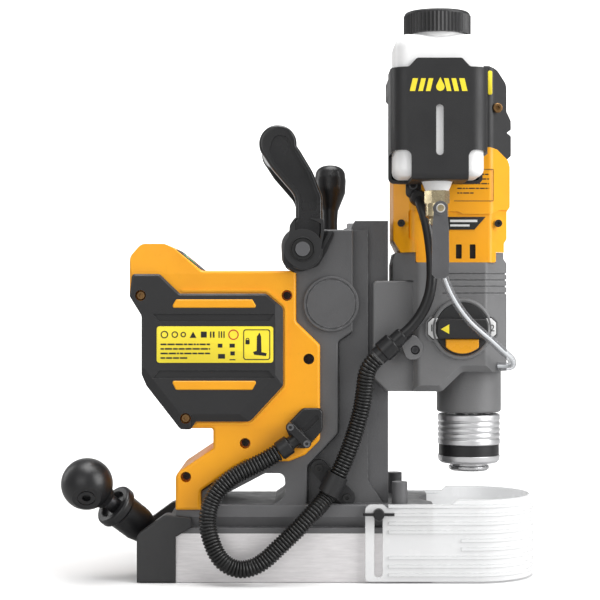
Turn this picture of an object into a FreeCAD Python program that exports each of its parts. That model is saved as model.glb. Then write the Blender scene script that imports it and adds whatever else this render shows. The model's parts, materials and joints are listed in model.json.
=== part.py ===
"""Cordless magnetic drill press with a permanent-magnet base.

Row frame: millimetres, +Z up. The origin is on the magnet's contact plane, on the centre line
of the base. +X points from the battery housing to the drill, and -Y is the side with the
coolant bottle and the wiring conduit; the feed handle is on the +Y side.

Each function below makes one named piece; PIECES at the end lists them and the last loop
writes one STEP file per piece. Mirrored pairs are built on the -Y side and mirrored.
"""

import FreeCAD
import Part
import math
import os

V = FreeCAD.Vector
X, Y, Z = V(1, 0, 0), V(0, 1, 0), V(0, 0, 1)

# --- driving dimensions, mm -------------------------------------------------------------

# magnet base
MAGNET_X0, MAGNET_X1 = -96.0, 103.0
MAGNET_HALF = 44.0
MAGNET_TOP = 37.5
BASE_TOP = 60.0
ROTOR_Z = 20.0
ROTOR_R = 14.0
RUNNING = 0.04            # radial clearance of a shaft that turns in a bore

# stand and guide
FRAME_HALF = 33.0         # half thickness of the stand's web
RIB_HALF = 43.0           # half thickness of the stand's raised ribs
RAIL_X0, RAIL_X1 = 41.0, 69.0
RAIL_HALF = 28.0
RAIL_TOP = 280.0
WING_X1 = 53.0            # front edge of the stand's flanks, which embrace the rail
RACK_SLOT_HALF = 9.0
KEY_Y0, KEY_Y1 = 17.5, 22.5    # keyways in the rail's front face

# feed: pinion and rack
PINION_X, PINION_Z = 24.0, 215.0
FEED_MODULE = 1.5
PINION_TEETH = 16
PINION_R = FEED_MODULE * PINION_TEETH / 2
SHAFT_R = 7.0

# drill unit
SPINDLE_X = 135.0
MOTOR_X = 120.5
GEAR_MODULE = 0.8
SMALL_TEETH, LARGE_TEETH = 12, 42
GEARBOX_HALF = 44.0
GEARBOX_TOP = 247.0
MOTOR_SPLIT_Z = 336.0     # yellow motor housing below, black cap above
MOTOR_HALF = 45.0
CARRIAGE_X0, CARRIAGE_X1 = 56.5, 88.0
CARRIAGE_HALF = 36.0
CARRIAGE_Z0, CARRIAGE_Z1 = 147.0, 233.0
BARREL_R = 25.6
BARREL_Z0 = 129.0
SHANK_R = 9.525           # 3/4 inch Weldon shank
SHANK_DEPTH = 32.0
CHUCK_Z0 = 82.2

# coolant
BOTTLE_X, BOTTLE_Y = 103.0, -79.0
BOTTLE_HALF_X, BOTTLE_HALF_Y = 33.2, 25.4
BRACKET_WALL = 2.5
BRACKET_FLOOR = 306.5
CAP_Z0, CAP_Z1 = 416.4, 433.4
VALVE_Z = 286.0

# rear housing and battery
HOUSING_HALF = 48.0
COVER_HALF = 53.0
SHELL = 3.0
BATTERY_HALF = 40.5
BATTERY_X1 = -24.0

# carry handle
HANDLE_X, HANDLE_Z = 2.0, 257.0
ARM_IN, ARM_OUT = 45.5, 54.0

# magnet lever: pivots on the rotor axis and leans towards -Y at rest
LEVER_X = -105.0
KNOB_CENTRE = V(-164.5, -45.0, 76.0)
BALL_R = 20.0

# chip guard
GUARD_IN, GUARD_OUT = 46.5, 49.0
GUARD_X0, GUARD_ARC_X = 50.2, 136.0
GUARD_SCREW_X, GUARD_SCREW_Z = 60.5, 53.4


# --- shape helpers ----------------------------------------------------------------------

def box(x0, x1, y0, y1, z0, z1):
    return Part.makeBox(x1 - x0, y1 - y0, z1 - z0, V(x0, y0, z0))


def rod(base, direction, radius, length):
    return Part.makeCylinder(radius, length, base, direction)


def ring(base, direction, inner, outer, length):
    return rod(base, direction, outer, length).cut(rod(base, direction, inner, length))


def rounded_wire(points, place):
    """Closed wire through corners (u, v) or (u, v, radius); place maps (u, v) to a 3-D point."""
    pieces, ends = [], []
    count = len(points)
    for i, point in enumerate(points):
        here = V(point[0], point[1], 0)
        radius = point[2] if len(point) > 2 else 0
        to_last = (V(*points[i - 1][:2], 0) - here).normalize()
        to_next = (V(*points[(i + 1) % count][:2], 0) - here).normalize()
        half = to_last.getAngle(to_next) / 2
        if radius and abs(half - math.pi / 2) > 1e-3:
            reach = radius / math.tan(half)
            middle = here + (to_last + to_next).normalize() * (radius / math.sin(half) - radius)
            start, end = here + to_last * reach, here + to_next * reach
            pieces.append(Part.Arc(place(start), place(middle), place(end)).toShape())
            ends.append((start, end))
        else:
            pieces.append(None)
            ends.append((here, here))
    edges = []
    for i in range(count):
        if pieces[i]:
            edges.append(pieces[i])
        start, end = ends[i][1], ends[(i + 1) % count][0]
        if (end - start).Length > 1e-6:
            edges.append(Part.makeLine(place(start), place(end)))
    return Part.Wire(Part.__sortEdges__(edges))


def face_xz(points, y=0.0):
    return Part.Face(rounded_wire(points, lambda p: V(p.x, y, p.y)))


def plate_xz(points, y0, y1):
    """Outline of (x, z[, radius]) corners, extruded from y0 to y1."""
    return face_xz(points, y0).extrude(Y * (y1 - y0))


def plate_xy(points, z0, z1):
    """Outline of (x, y[, radius]) corners, extruded from z0 to z1."""
    return Part.Face(rounded_wire(points, lambda p: V(p.x, p.y, z0))).extrude(Z * (z1 - z0))


def plate_yz(points, x0, x1):
    """Outline of (y, z[, radius]) corners, extruded from x0 to x1."""
    return Part.Face(rounded_wire(points, lambda p: V(x0, p.x, p.y))).extrude(X * (x1 - x0))


def rectangle(u0, u1, v0, v1, radius=0.0):
    return [(u0, v0, radius), (u1, v0, radius), (u1, v1, radius), (u0, v1, radius)]


def slot_xz(x, z0, z1, radius, y0, y1):
    """Upright slot with round ends."""
    return plate_xz(rectangle(x - radius, x + radius, z0, z1, radius * 0.999), y0, y1)


def turned(profile, base=V(0, 0, 0), direction=Z):
    """Solid of revolution; profile corners are (radius, distance along direction[, rounding])."""
    wire = rounded_wire(profile, lambda p: V(p.x, 0, p.y))
    solid = Part.Face(wire).revolve(V(0, 0, 0), Z, 360)
    solid.Placement = FreeCAD.Placement(base, FreeCAD.Rotation(Z, direction))
    return solid


def pipe(points, radius):
    """Round bar along a smooth curve through points."""
    curve = Part.BSplineCurve()
    curve.interpolate(points)
    edge = curve.toShape()
    start = edge.tangentAt(edge.FirstParameter)
    profile = Part.Wire(Part.makeCircle(radius, points[0], start))
    return Part.Wire(edge).makePipeShell([profile], True, False)


def edges_at(shape, axis, value, test=lambda e: True):
    """Edges lying in the plane axis = value."""
    low, high = axis + "Min", axis + "Max"
    return [
        e for e in shape.Edges
        if abs(getattr(e.BoundBox, low) - value) < 1e-3
        and abs(getattr(e.BoundBox, high) - value) < 1e-3 and test(e)
    ]


def soften(shape, axis, value, radius, test=lambda e: True):
    """Rounds the edges in the plane axis = value."""
    return shape.makeFillet(radius, edges_at(shape, axis, value, test))


def bevel(shape, axis, value, size, test=lambda e: True):
    """Chamfers the edges in the plane axis = value."""
    return shape.makeChamfer(size, edges_at(shape, axis, value, test))


def mirror(shape):
    return shape.mirror(V(0, 0, 0), Y)


def fuse(*shapes):
    return shapes[0].fuse(list(shapes[1:])).removeSplitter()


def group(shapes):
    return Part.makeCompound(list(shapes))


def both_sides(shape):
    return group([shape, mirror(shape)])


def socket_screw(base, direction, head_r, head_h, shank_r, length):
    """Cap screw whose head's underside is at base; the shank runs against direction."""
    head = rod(base, direction, head_r, head_h)
    head = head.cut(hex_bar(base + direction * (head_h * 0.4), direction, head_r * 0.52, head_h))
    return fuse(head, rod(base, direction * -1, shank_r, length))


def hex_bar(base, direction, radius, length):
    corners = [V(radius * math.cos(math.radians(60 * k)), radius * math.sin(math.radians(60 * k)), 0)
               for k in range(7)]
    bar = Part.Face(Part.makePolygon(corners)).extrude(Z * length)
    bar.Placement = FreeCAD.Placement(base, FreeCAD.Rotation(Z, direction))
    return bar


# --- gears ------------------------------------------------------------------------------

PRESSURE = math.radians(20)
ADDENDUM, DEDENDUM = 0.8, 1.1      # stub teeth, in modules
THINNING = 0.09                    # tooth thinning at the pitch line, in modules


def involute(angle):
    return math.tan(angle) - angle


def gear_points(teeth, module, phase):
    """Tooth outline round the origin; one tooth is centred at the angle phase (radians)."""
    pitch_r = module * teeth / 2
    base_r = pitch_r * math.cos(PRESSURE)
    root_r, tip_r = pitch_r - DEDENDUM * module, pitch_r + ADDENDUM * module
    half_pitch = math.pi / (2 * teeth) - THINNING * module / pitch_r

    def half_angle(radius):
        turn = math.acos(min(1.0, base_r / max(radius, base_r)))
        return half_pitch + involute(PRESSURE) - involute(turn)

    radii = [root_r, max(base_r, root_r + 0.05), pitch_r, tip_r]
    points = []
    for k in range(teeth):
        centre = phase + 2 * math.pi * k / teeth
        points += [(r, centre - half_angle(r)) for r in radii]
        points += [(r, centre + half_angle(r)) for r in reversed(radii)]
    return [(r * math.cos(a), r * math.sin(a)) for r, a in points]


def gear_z(teeth, module, phase, x, y, z0, z1):
    """Spur gear on an upright shaft."""
    return plate_xy([(x + u, y + v) for u, v in gear_points(teeth, module, phase)], z0, z1)


def gear_y(teeth, module, phase, x, z, y0, y1):
    """Spur gear on a shaft along Y."""
    return plate_xz([(x + u, z + v) for u, v in gear_points(teeth, module, phase)], y0, y1)


# --- magnet base ------------------------------------------------------------------------

CUTTER_NOTCH_R = 40.0     # round notch in the front of the base, about the spindle axis


def cutter_notch(z0, z1):
    return rod(V(SPINDLE_X, 0, z0), Z, CUTTER_NOTCH_R, z1 - z0)


def magnet_block():
    body = box(MAGNET_X0, MAGNET_X1, -MAGNET_HALF, MAGNET_HALF, 0, MAGNET_TOP)
    bore = rod(V(MAGNET_X0, 0, ROTOR_Z), X, ROTOR_R, MAGNET_X1 - MAGNET_X0 - 18)
    pole_gaps = both_sides(box(MAGNET_X0, MAGNET_X1, -19, -15, 0, 2.5))
    return body.cut(bore).cut(pole_gaps).cut(cutter_notch(-1, MAGNET_TOP + 1))


def magnet_rotor():
    core = rod(V(MAGNET_X0 + 1, 0, ROTOR_Z), X, ROTOR_R - RUNNING, MAGNET_X1 - MAGNET_X0 - 20)
    return fuse(core, rod(V(LEVER_X - 8, 0, ROTOR_Z), X, 6, 20))


def base_casting():
    half = MAGNET_HALF
    side = [(-half, MAGNET_TOP), (-half, 41.8), (-half + 4.8, 42.4), (-half, 50.4), (-half, 59, 1.5),
            (-half + 1, BASE_TOP, 1)]
    profile = side + [(-y, z, *r) for y, z, *r in reversed(side)]
    body = plate_yz(profile, MAGNET_X0, MAGNET_X1).cut(cutter_notch(MAGNET_TOP - 1, BASE_TOP + 2))
    post = [(0, 0), (6.1, 0), (6.1, 17.2, 0.6), (0, 17.2)]
    posts = [turned(post, V(77.5, y, BASE_TOP - 0.5)) for y in (-35, 35)]
    tapped = [rod(V(GUARD_SCREW_X, s * 30, GUARD_SCREW_Z), Y * s, 3.0, 20) for s in (-1, 1)]
    return fuse(body, *posts).cut(group(tapped))


REAR_SIDE = [(-126, 0), (-96, 0), (-96, 35), (-83.5, 42.5, 2), (-83.5, 50, 2.5), (-104, 52.5, 6),
             (-126, 36.5, 5)]
LEVER_NOTCH_HALF = 33.0


def rear_bracket():
    body = plate_xz(REAR_SIDE, -47, 47)
    body = soften(soften(body, "Y", -47, 1.2), "Y", 47, 1.2)
    notch = plate_xz([(-130, 7), (-100, 7, 3), (-100, 60), (-130, 60)], -LEVER_NOTCH_HALF, LEVER_NOTCH_HALF)
    between_arms = box(-96, -80, -44.1, 44.1, 30, 60)
    shaft_hole = rod(V(-101, 0, ROTOR_Z), X, 6 + RUNNING, 10)
    return body.cut(fuse(notch, between_arms, shaft_hole))


def lever_direction():
    return (KNOB_CENTRE - V(LEVER_X, 0, ROTOR_Z)).normalize()


def lever_rod():
    pivot, along = V(LEVER_X, 0, ROTOR_Z), lever_direction()
    reach = (KNOB_CENTRE - pivot).Length
    hub = turned([(0, 0), (12.5, 0, 1.5), (12.5, 17, 1.5), (0, 17)], V(LEVER_X - 13, 0, ROTOR_Z), X)
    bar = rod(pivot, along, 6, reach - 8)
    return fuse(hub, bar).cut(rod(V(LEVER_X - 8, 0, ROTOR_Z), X, 6, 20))


def lever_knob():
    pivot, along = V(LEVER_X, 0, ROTOR_Z), lever_direction()
    reach = (KNOB_CENTRE - pivot).Length
    ball = Part.makeSphere(BALL_R, KNOB_CENTRE)
    neck = turned([(0, -21.5), (8.5, -21.5, 0.8), (11, -14), (0, -14)], KNOB_CENTRE, along)
    face_axis = V(0.08, -0.82, -0.56).normalize()
    flat = rod(KNOB_CENTRE + face_axis * 16.8, face_axis, 14, 8)
    groove = ring(KNOB_CENTRE + face_axis * 16.0, face_axis, 6.2, 7.2, 2)
    socket = rod(KNOB_CENTRE + face_axis * 13.5, face_axis, 3.4, 8)
    return fuse(ball, neck).cut(group([flat, groove, socket])).cut(rod(pivot, along, 6, reach - 8))


def lock_collar():
    profile = [(6.06, 27), (11.5, 27, 2), (13.6, 36, 3), (14, 56, 1), (17, 58, 2), (17, 65, 2.5),
               (11.5, 65, 1), (10, 61), (6.06, 61)]
    body = turned(profile, V(LEVER_X, 0, ROTOR_Z), lever_direction())
    side = lever_direction().cross(Y).normalize()
    detent = rod(V(LEVER_X, 0, ROTOR_Z) + lever_direction() * 42, side * -1, 2.2, 20)
    return body.cut(detent)


# --- stand ------------------------------------------------------------------------------

STAND_BACK = [(-77, 60), (-77, 70, 4), (-47, 90, 8), (-14, 95, 8), (-4, 108, 6), (-4, 238, 4),
              (-14, 248, 5), (-15, 268, 14), (-4, 274, 6), (22, 272.5, 2), (RAIL_X0, 272.5)]
STAND_WEB = STAND_BACK + [(RAIL_X0, 60)]
STAND_RIB = STAND_BACK + [(RAIL_X0, 194), (29.5, 186, 4), (29.5, 115, 4), (5.5, 89.5, 4), (5.5, 60)]
HAND_WINDOW = [(-61, 50), (-61, 66, 5), (-27, 84, 4), (-12, 84, 5), (-11, 66, 7), (-20, 60, 3), (-20, 50)]


def stand_frame():
    web = plate_xz(STAND_WEB, -FRAME_HALF, FRAME_HALF)
    rib = plate_xz(STAND_RIB, -RIB_HALF, RIB_HALF)
    for y in (-RIB_HALF, RIB_HALF):
        rib = soften(rib, "Y", y, 1.5, lambda e: e.BoundBox.ZMax > 60.5)
    flank = plate_xz([(RAIL_X0, 60), (64.5, 60), (WING_X1, 77), (WING_X1, 272.5, 1), (RAIL_X0, 272.5)],
                     -FRAME_HALF, -RAIL_HALF - 0.1)
    body = fuse(web, rib, flank, mirror(flank))
    foot_line = face_xz(STAND_RIB, -FRAME_HALF).makeOffset2D(1.3).extrude(Y * 1.6)
    foot_line = foot_line.cut(plate_xz(STAND_RIB, -50, 0)).common(box(5, 40, -50, 0, 60, 200))
    body = body.cut(both_sides(foot_line))
    window = plate_xz(HAND_WINDOW, -50, 50)
    rack_way = box(33.5, RAIL_X0, -RACK_SLOT_HALF, RACK_SLOT_HALF, 88, 280)
    pinion_room = rod(V(PINION_X, -RACK_SLOT_HALF, PINION_Z), Y, 14.5, 2 * RACK_SLOT_HALF)
    shaft_bore = rod(V(PINION_X, -50, PINION_Z), Y, 10, 100)
    pin_bores = rod(V(HANDLE_X, -50, HANDLE_Z), Y, 5, 100)
    wells = group([rod(V(x, -50, z), Y, WELL_R, 12) for x, z in HOUSING_HOLES])
    body = body.cut(group([window, rack_way, pinion_room, shaft_bore, pin_bores]))
    return body.cut(clip_screws()).cut(housing_screws()).cut(wells)


def guide_rail():
    side = [(RAIL_X0, 60), (RAIL_X0, 276), (RAIL_X0 + 2, RAIL_TOP), (RAIL_X1, RAIL_TOP), (RAIL_X1, 60)]
    body = plate_xz(side, -RAIL_HALF, RAIL_HALF)
    slot = box(RAIL_X0 - 1, RAIL_X1 + 1, -RACK_SLOT_HALF, RACK_SLOT_HALF, 88, 290)
    keyway = box(RAIL_X1 - 5, RAIL_X1 + 1, -KEY_Y1, -KEY_Y0, 78, 290)
    return body.cut(group([slot, keyway, mirror(keyway)]))


def pinion_cover():
    profile = [(0, 0), (21.5, 0), (21.5, 2.4, 0.8), (19.8, 2.4), (19.5, 1.4), (18.8, 1.4), (18.5, 2.4),
               (0, 2.4)]
    return turned(profile, V(PINION_X, -RIB_HALF, PINION_Z), Y * -1)


def pinion_bushes():
    return group(ring(V(PINION_X, y, PINION_Z), Y, SHAFT_R + RUNNING, 10, 22) for y in (-40, 18))


def clip_screws():
    """The two screws of the conduit's clip."""
    return group([socket_screw(V(x, -39.0, z), Y * -1, 3.2, 2.4, 1.8, 12) for x, z in CLIP_SCREWS])


def housing_screws():
    """Screws at the bottom of the rear housing's four wells."""
    return group([socket_screw(V(x, -38.0, z), Y * -1, 2.9, 2.2, 1.5, 8) for x, z in HOUSING_HOLES])


def stand_screws():
    """Every screw of the stand: handle pivots, conduit clip and rear housing."""
    return group([handle_pivot(-1), handle_pivot(1), clip_screws(), housing_screws()])


def handle_pivot(side):
    outward = Y * side
    profile = [(0, 0), (9.4, 0), (9.4, 1.4, 0.5), (8.8, 1.4), (8.2, 0.4), (6.2, 0.4), (5.8, 1.6, 0.4), (0, 1.6)]
    head = turned(profile, V(HANDLE_X, side * 57, HANDLE_Z), outward)
    shank = rod(V(HANDLE_X, side * 34, HANDLE_Z), outward, 5, 23)
    return fuse(head, shank)


# --- rear housing, covers, battery ------------------------------------------------------

HOUSING = [(-131.5, 221, 3), (-131.5, 251.5, 9), (-122.5, 261.5, 7), (-104.5, 261.5, 6), (-98, 258.5, 3),
           (-76, 240.6, 4), (-3, 240.6, 1.5), (-3, 201.5, 4), (15.5, 183.5, 4), (15.5, 110, 6), (4, 98.5, 5),
           (-8.5, 93.5, 3), (-42, 93.5, 2), (-51, 88.3, 2), (-76.5, 71, 3), (-76.5, 56), (-96, 56, 1),
           (-96, 84, 8), (-67, 103.5, 2), (-67, 119, 2), (-92, 119, 3), (-119.5, 157, 4), (-121.5, 206, 5)]
COVER = [(-129, 238, 2.5), (-108, 238, 3), (-92.5, 223, 3), (-26, 223, 5), (-13, 212, 5), (-13, 152, 5),
         (-38.5, 124.5, 6), (-80, 124.5), (-84, 118.5, 2.5), (-92, 118.5, 4), (-118, 152, 4), (-121.8, 161),
         (-121.8, 206, 5), (-131, 221)]
INSERTS = [[(-95.2, 218.5, 1.5), (-36.6, 218.5, 1.5), (-32.8, 212, 1.5), (-98.8, 212, 1.5)],
           [(-98.8, 156, 1.5), (-32.8, 156, 1.5), (-36.6, 149, 1.5), (-95.2, 149, 1.5)]]
COVER_GROOVES = [[(-113, 207.5), (-19, 207.5), (-24, 201.5), (-108, 201.5)],
                 [(-108, 164), (-24, 164), (-19, 158), (-113, 158)]]
COVER_HOLES = [(-122.5, 221.5), (-88, 127)]
WELL_R = 4.2              # screw wells of the housing and of its side covers
HOUSING_HOLES = [(-10, 221.5), (6.8, 172.5), (-42.3, 107.5), (-88, 81.5)]
BATTERY_BAY = [(-140, 124), (-22, 124), (-22, 214), (-140, 214)]
PANEL_CENTRE = V(-87.0, 0, 249.55)
PANEL_NORMAL = V(17.9, 0, 22.0).normalize()
PANEL_ALONG = V(22.0, 0, -17.9).normalize()


def on_panel(height, across, along=0.0):
    """Point on the sloping control panel: across is along Y, along runs down the slope."""
    return PANEL_CENTRE + PANEL_NORMAL * height + Y * across + PANEL_ALONG * along


def panel_slab(low, high, half_along, half_across, radius):
    """Rounded slab parallel to the control panel."""
    corners = rectangle(-half_along, half_along, -half_across, half_across, radius)
    place = lambda p: on_panel(low, p.y, p.x)
    return Part.Face(rounded_wire(corners, place)).extrude(PANEL_NORMAL * (high - low))


def lands(side):
    """Raised lands of the housing that fill the windows of its side cover."""
    face_y = -COVER_HALF - 0.6
    made = group([bevel(plate_xz(i, face_y, -HOUSING_HALF + 1), "Y", face_y, 0.7) for i in INSERTS])
    return made if side < 0 else mirror(made)


DRAFT = 1.8               # how far the flank leans in; less than the wall's thickness


def drafted(shell):
    """Slopes the housing's flank inwards above the side cover, and adds the lip round the cover."""
    corners = [V(-140, -HOUSING_HALF, 238), V(-140, -HOUSING_HALF - 4, 238), V(-140, -HOUSING_HALF - 4, 266),
               V(-140, -HOUSING_HALF + DRAFT, 266)]
    wedge = Part.Face(Part.makePolygon(corners + corners[:1])).extrude(X * 145)
    cover = face_xz(COVER, -HOUSING_HALF - 0.9)
    lip = cover.makeOffset2D(3.0).cut(cover.makeOffset2D(1.4)).extrude(Y * 3)
    lip = lip.common(box(-91, 0, -60, 0, 122, 226))
    return fuse(shell.cut(wedge), lip)


def rear_housing_left():
    shell = plate_xz(HOUSING, -HOUSING_HALF, 0)
    shell = drafted(soften(shell, "Y", -HOUSING_HALF, 2.5))
    hollow = face_xz(HOUSING, -HOUSING_HALF + SHELL).makeOffset2D(-SHELL).extrude(Y * HOUSING_HALF)
    bay = plate_xz(BATTERY_BAY, -BATTERY_HALF - 0.5, 1)
    shell = shell.cut(hollow).cut(bay)
    holes = [rod(V(x, -50, z), Y, WELL_R, 12) for x, z in HOUSING_HOLES]
    holes += [rod(V(x, -50, z), Y, WELL_R, 4) for x, z in COVER_HOLES]
    bosses = [rod(V(x, -HOUSING_HALF + 1, z), Y, 6, HOUSING_HALF - 1) for x, z in HOUSING_HOLES]
    inside = plate_xz(HOUSING, -HOUSING_HALF + 1, 0)
    shell = fuse(shell, group(bosses).common(inside), lands(-1))
    panel = panel_slab(-4, 10, 12.5, 34, 3)
    cable_hole = rod(V(*SOCKET_SEAT), Y, 5, 12)
    shell = shell.cut(group(holes)).cut(housing_screws()).cut(panel).cut(cable_hole)
    return shell.cut(stand_frame_hull()).cut(base_casting())


def stand_frame_hull():
    """Space the stand takes inside the rear housing."""
    web = plate_xz(STAND_WEB, -FRAME_HALF, FRAME_HALF)
    return fuse(web, plate_xz(STAND_RIB, -RIB_HALF, RIB_HALF), handle_seat())


def handle_seat():
    return rod(V(HANDLE_X, -60, HANDLE_Z), Y, 19, 120)


def rear_housing_right():
    shell = mirror(drafted(soften(plate_xz(HOUSING, -HOUSING_HALF, 0), "Y", -HOUSING_HALF, 2.5)))
    hollow = face_xz(HOUSING, 0).makeOffset2D(-SHELL).extrude(Y * (HOUSING_HALF - SHELL))
    bay = plate_xz(BATTERY_BAY, -1, BATTERY_HALF + 0.5)
    shell = shell.cut(hollow).cut(bay)
    panel = panel_slab(-4, 10, 12.5, 34, 3)
    return fuse(shell, lands(1)).cut(panel).cut(stand_frame_hull()).cut(base_casting())


COVER_FACETS = [((-13, 222), (-13, 140), 6), ((-5.7, 160), (-46, 116.5), 10), ((-30, 124.5), (-84, 124.5), 6),
                ((-84, 107.3), (-126, 161), 8)]


def facet(start, end, width, depth):
    """Wedge that slopes a cover's outer face down towards the edge from start to end."""
    along = V(end[0] - start[0], 0, end[1] - start[1])
    outward = along.cross(Y).normalize()
    edge = V(start[0], -COVER_HALF, start[1])
    corners = [edge - outward * width, edge + outward * 4, edge + outward * 4 + Y * depth, edge + Y * depth]
    return Part.Face(Part.makePolygon(corners + corners[:1])).extrude(along)


def side_covers():
    cover = plate_xz(COVER, -COVER_HALF, -HOUSING_HALF)
    cover = bevel(cover, "Y", -COVER_HALF, 1.5)
    for start, end, width in COVER_FACETS:
        cover = cover.cut(facet(start, end, width, 2.6))
    for groove in COVER_GROOVES:
        cover = cover.cut(plate_xz(groove, -COVER_HALF - 1, -COVER_HALF + 1.6))
    for insert in INSERTS:
        cover = cover.cut(plate_xz(insert, -COVER_HALF - 1, 0))
    for x, z in COVER_HOLES:
        cover = cover.cut(rod(V(x, -60, z), Y, WELL_R, 20))
    return both_sides(cover)


def control_panel():
    plate = panel_slab(-3.6, 0.5, 12.3, 33.8, 3)
    wells = [rod(on_panel(-5, y), PANEL_NORMAL, 7.0, 10) for y in (-15, 15)]
    lens = rod(on_panel(0.4, 0), PANEL_NORMAL, 2.2, 0.5)
    return plate.cut(group(wells)).fuse(lens)


def push_button(across):
    profile = [(0, 0), (6.8, 0), (6.8, 4.4, 1.2), (0, 4.4)]
    return turned(profile, on_panel(-3.4, across), PANEL_NORMAL)


def control_board():
    board = panel_slab(-9.0, -7.4, 10, 28, 1)
    posts = [panel_slab(-7.5, -3.65, 3, 3, 0).translated(Y * y) for y in (-25, 0, 25)]
    return fuse(board, *posts)


def battery_pack():
    outline = [(-121, 206, 4), (-121, 158, 4), (-101, 130, 4), (-92, 127, 3), (BATTERY_X1, 127, 4),
               (BATTERY_X1, 199, 3), (-40, 199, 2), (-40, 211, 3), (-117, 211, 6)]
    body = plate_xz(outline, -BATTERY_HALF, BATTERY_HALF)
    for y in (-BATTERY_HALF, BATTERY_HALF):
        body = soften(body, "Y", y, 3)
    well = box(-122, -107.5, -14.2, 14.2, 192.8, 203.2)
    return body.cut(well)


def battery_release():
    body = box(-120, -111, -14, 14, 193, 203)
    return body.makeFillet(1.2, edges_at(body, "X", -120))


def battery_dock():
    body = box(-37, -6.05, -30, 30, 201, 213.5)
    blades = [box(-39.5, -37, y - 1, y + 1, 203, 209) for y in (-18, -6, 6, 18)]
    return fuse(body, *blades)


# --- carry handle -----------------------------------------------------------------------

GRIP_X, GRIP_Z, GRIP_R = -17.0, 338.0, 14.5
ARM = [(-10, 244.5, 11), (-8, 276, 6), (-3.4, 281, 2), (-3.3, 297.5, 16), (-21.5, 318.5, 10), (-30.2, 332),
       (GRIP_X, GRIP_Z), (-6, 341.5), (0.2, 332.5, 8), (9.8, 316.5, 30), (17.2, 297.5, 14), (17.2, 271, 6),
       (14.5, 256, 10), (10, 245, 8)]
ARM_WEB = [(0.5, 286, 3), (0.5, 299.5, 16), (-18.5, 321.5, 10), (-24, 333, 7), (-19, 346, 6), (-9, 343, 6),
           (-3, 331, 8), (6.5, 315, 26), (13.2, 297, 12), (13.2, 286, 3)]


def handle_arm():
    """One arm of the handle: a flat web between raised, rounded rims."""
    end = rod(V(GRIP_X, -ARM_OUT, GRIP_Z), Y, GRIP_R, ARM_OUT - ARM_IN)
    outline = fuse(plate_xz(ARM, -ARM_OUT, -ARM_IN), end)
    arm = soften(outline, "Y", -ARM_OUT, 2.4, lambda e: e.BoundBox.ZMax > 246)
    return arm.cut(plate_xz(ARM_WEB, -ARM_OUT - 1, -ARM_OUT + 2.2))


def carry_handle():
    arm = handle_arm()
    grip = rod(V(GRIP_X, -ARM_IN - 2, GRIP_Z), Y, GRIP_R - 0.8, 2 * ARM_IN + 4)
    bore = rod(V(HANDLE_X, -60, HANDLE_Z), Y, 5 + RUNNING, 120)
    return fuse(arm, mirror(arm), grip).cut(bore)


def handle_bracket():
    """Clevis round each end of the handle: inner seat, outer cheek and the rim that joins them."""
    seat = plate_xz([(-13, 244, 6), (0, 239.5, 6), (14, 244, 6), (21, 256, 8), (27.5, 271, 2), (17, 271, 2),
                     (-12, 262, 4)], -45.4, -RIB_HALF)
    rim = ring(V(HANDLE_X, -56.5, HANDLE_Z), Y, 13.4, 15.6, 12).common(box(-5, 40, -60, 0, 200, HANDLE_Z))
    strap = plate_xz([(15.5, 256.9), (17.5, 256.9), (25.5, 271), (22.5, 271)], -50, -45)
    cheek = plate_xz([(-9.8, 257, 3), (-7.5, 276, 3), (-4, 281, 2), (18, 280, 2), (18.6, 271, 8), (16, 257)],
                     -57, -54.1)
    cheek = fuse(cheek, rod(V(HANDLE_X, -57, HANDLE_Z), Y, 14.2, 2.9))
    pocket = ring(V(HANDLE_X, -60, HANDLE_Z), Y, 15.5, 24, 8).common(box(-4, 16, -60, -50, 265, 290))
    body = fuse(seat, rim, strap, cheek.cut(pocket))
    return both_sides(body.cut(rod(V(HANDLE_X, -60, HANDLE_Z), Y, 5, 40)))


# --- feed handle ------------------------------------------------------------------------

SPOKE_TILT = math.radians(14)
SPOKE_ANGLES = [89, 209, 329]      # degrees from +X towards +Z
HUB_Y0, HUB_Y1 = 46.0, 74.0


def spoke_frame(angle):
    """Start point and direction of a spoke, which leans away from the stand."""
    a = math.radians(angle)
    flat = V(math.cos(a), 0, math.sin(a))
    return V(PINION_X, 62, PINION_Z), (flat * math.cos(SPOKE_TILT) + Y * math.sin(SPOKE_TILT)).normalize()


def pinion_shaft():
    shaft = rod(V(PINION_X, -41, PINION_Z), Y, SHAFT_R, 41 + HUB_Y1 - 4)
    return fuse(shaft, gear_y(PINION_TEETH, FEED_MODULE, 0.0, PINION_X, PINION_Z, -8, 8))


def feed_hub():
    profile = [(0, HUB_Y0), (17, HUB_Y0, 1.5), (17, 50, 1), (20, 54, 2), (20, 70, 4), (12, HUB_Y1, 2),
               (0, HUB_Y1)]
    hub = turned(profile, V(PINION_X, 0, PINION_Z), Y)
    hub = hub.cut(rod(V(PINION_X, 40, PINION_Z), Y, SHAFT_R, HUB_Y1 - 44))
    for angle in SPOKE_ANGLES:
        start, along = spoke_frame(angle)
        hub = hub.cut(rod(start + along * 9, along, 5, 30))
    return hub


def feed_spokes():
    rods = []
    for angle in SPOKE_ANGLES:
        start, along = spoke_frame(angle)
        rods.append(rod(start + along * 9, along, 5, 61))
    return group(rods)


def feed_grips():
    profile = [(0, 40), (7, 40, 1), (6.5, 72, 20), (7, 81, 12), (13.0, 97, 14), (13.4, 108, 10), (12, 119, 7),
               (0, 120.5)]
    grips = []
    for angle in SPOKE_ANGLES:
        start, along = spoke_frame(angle)
        grips.append(turned(profile, start, along).cut(rod(start + along * 9, along, 5, 61)))
    return group(grips)


# --- drill unit: slide and gearbox ------------------------------------------------------

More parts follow.
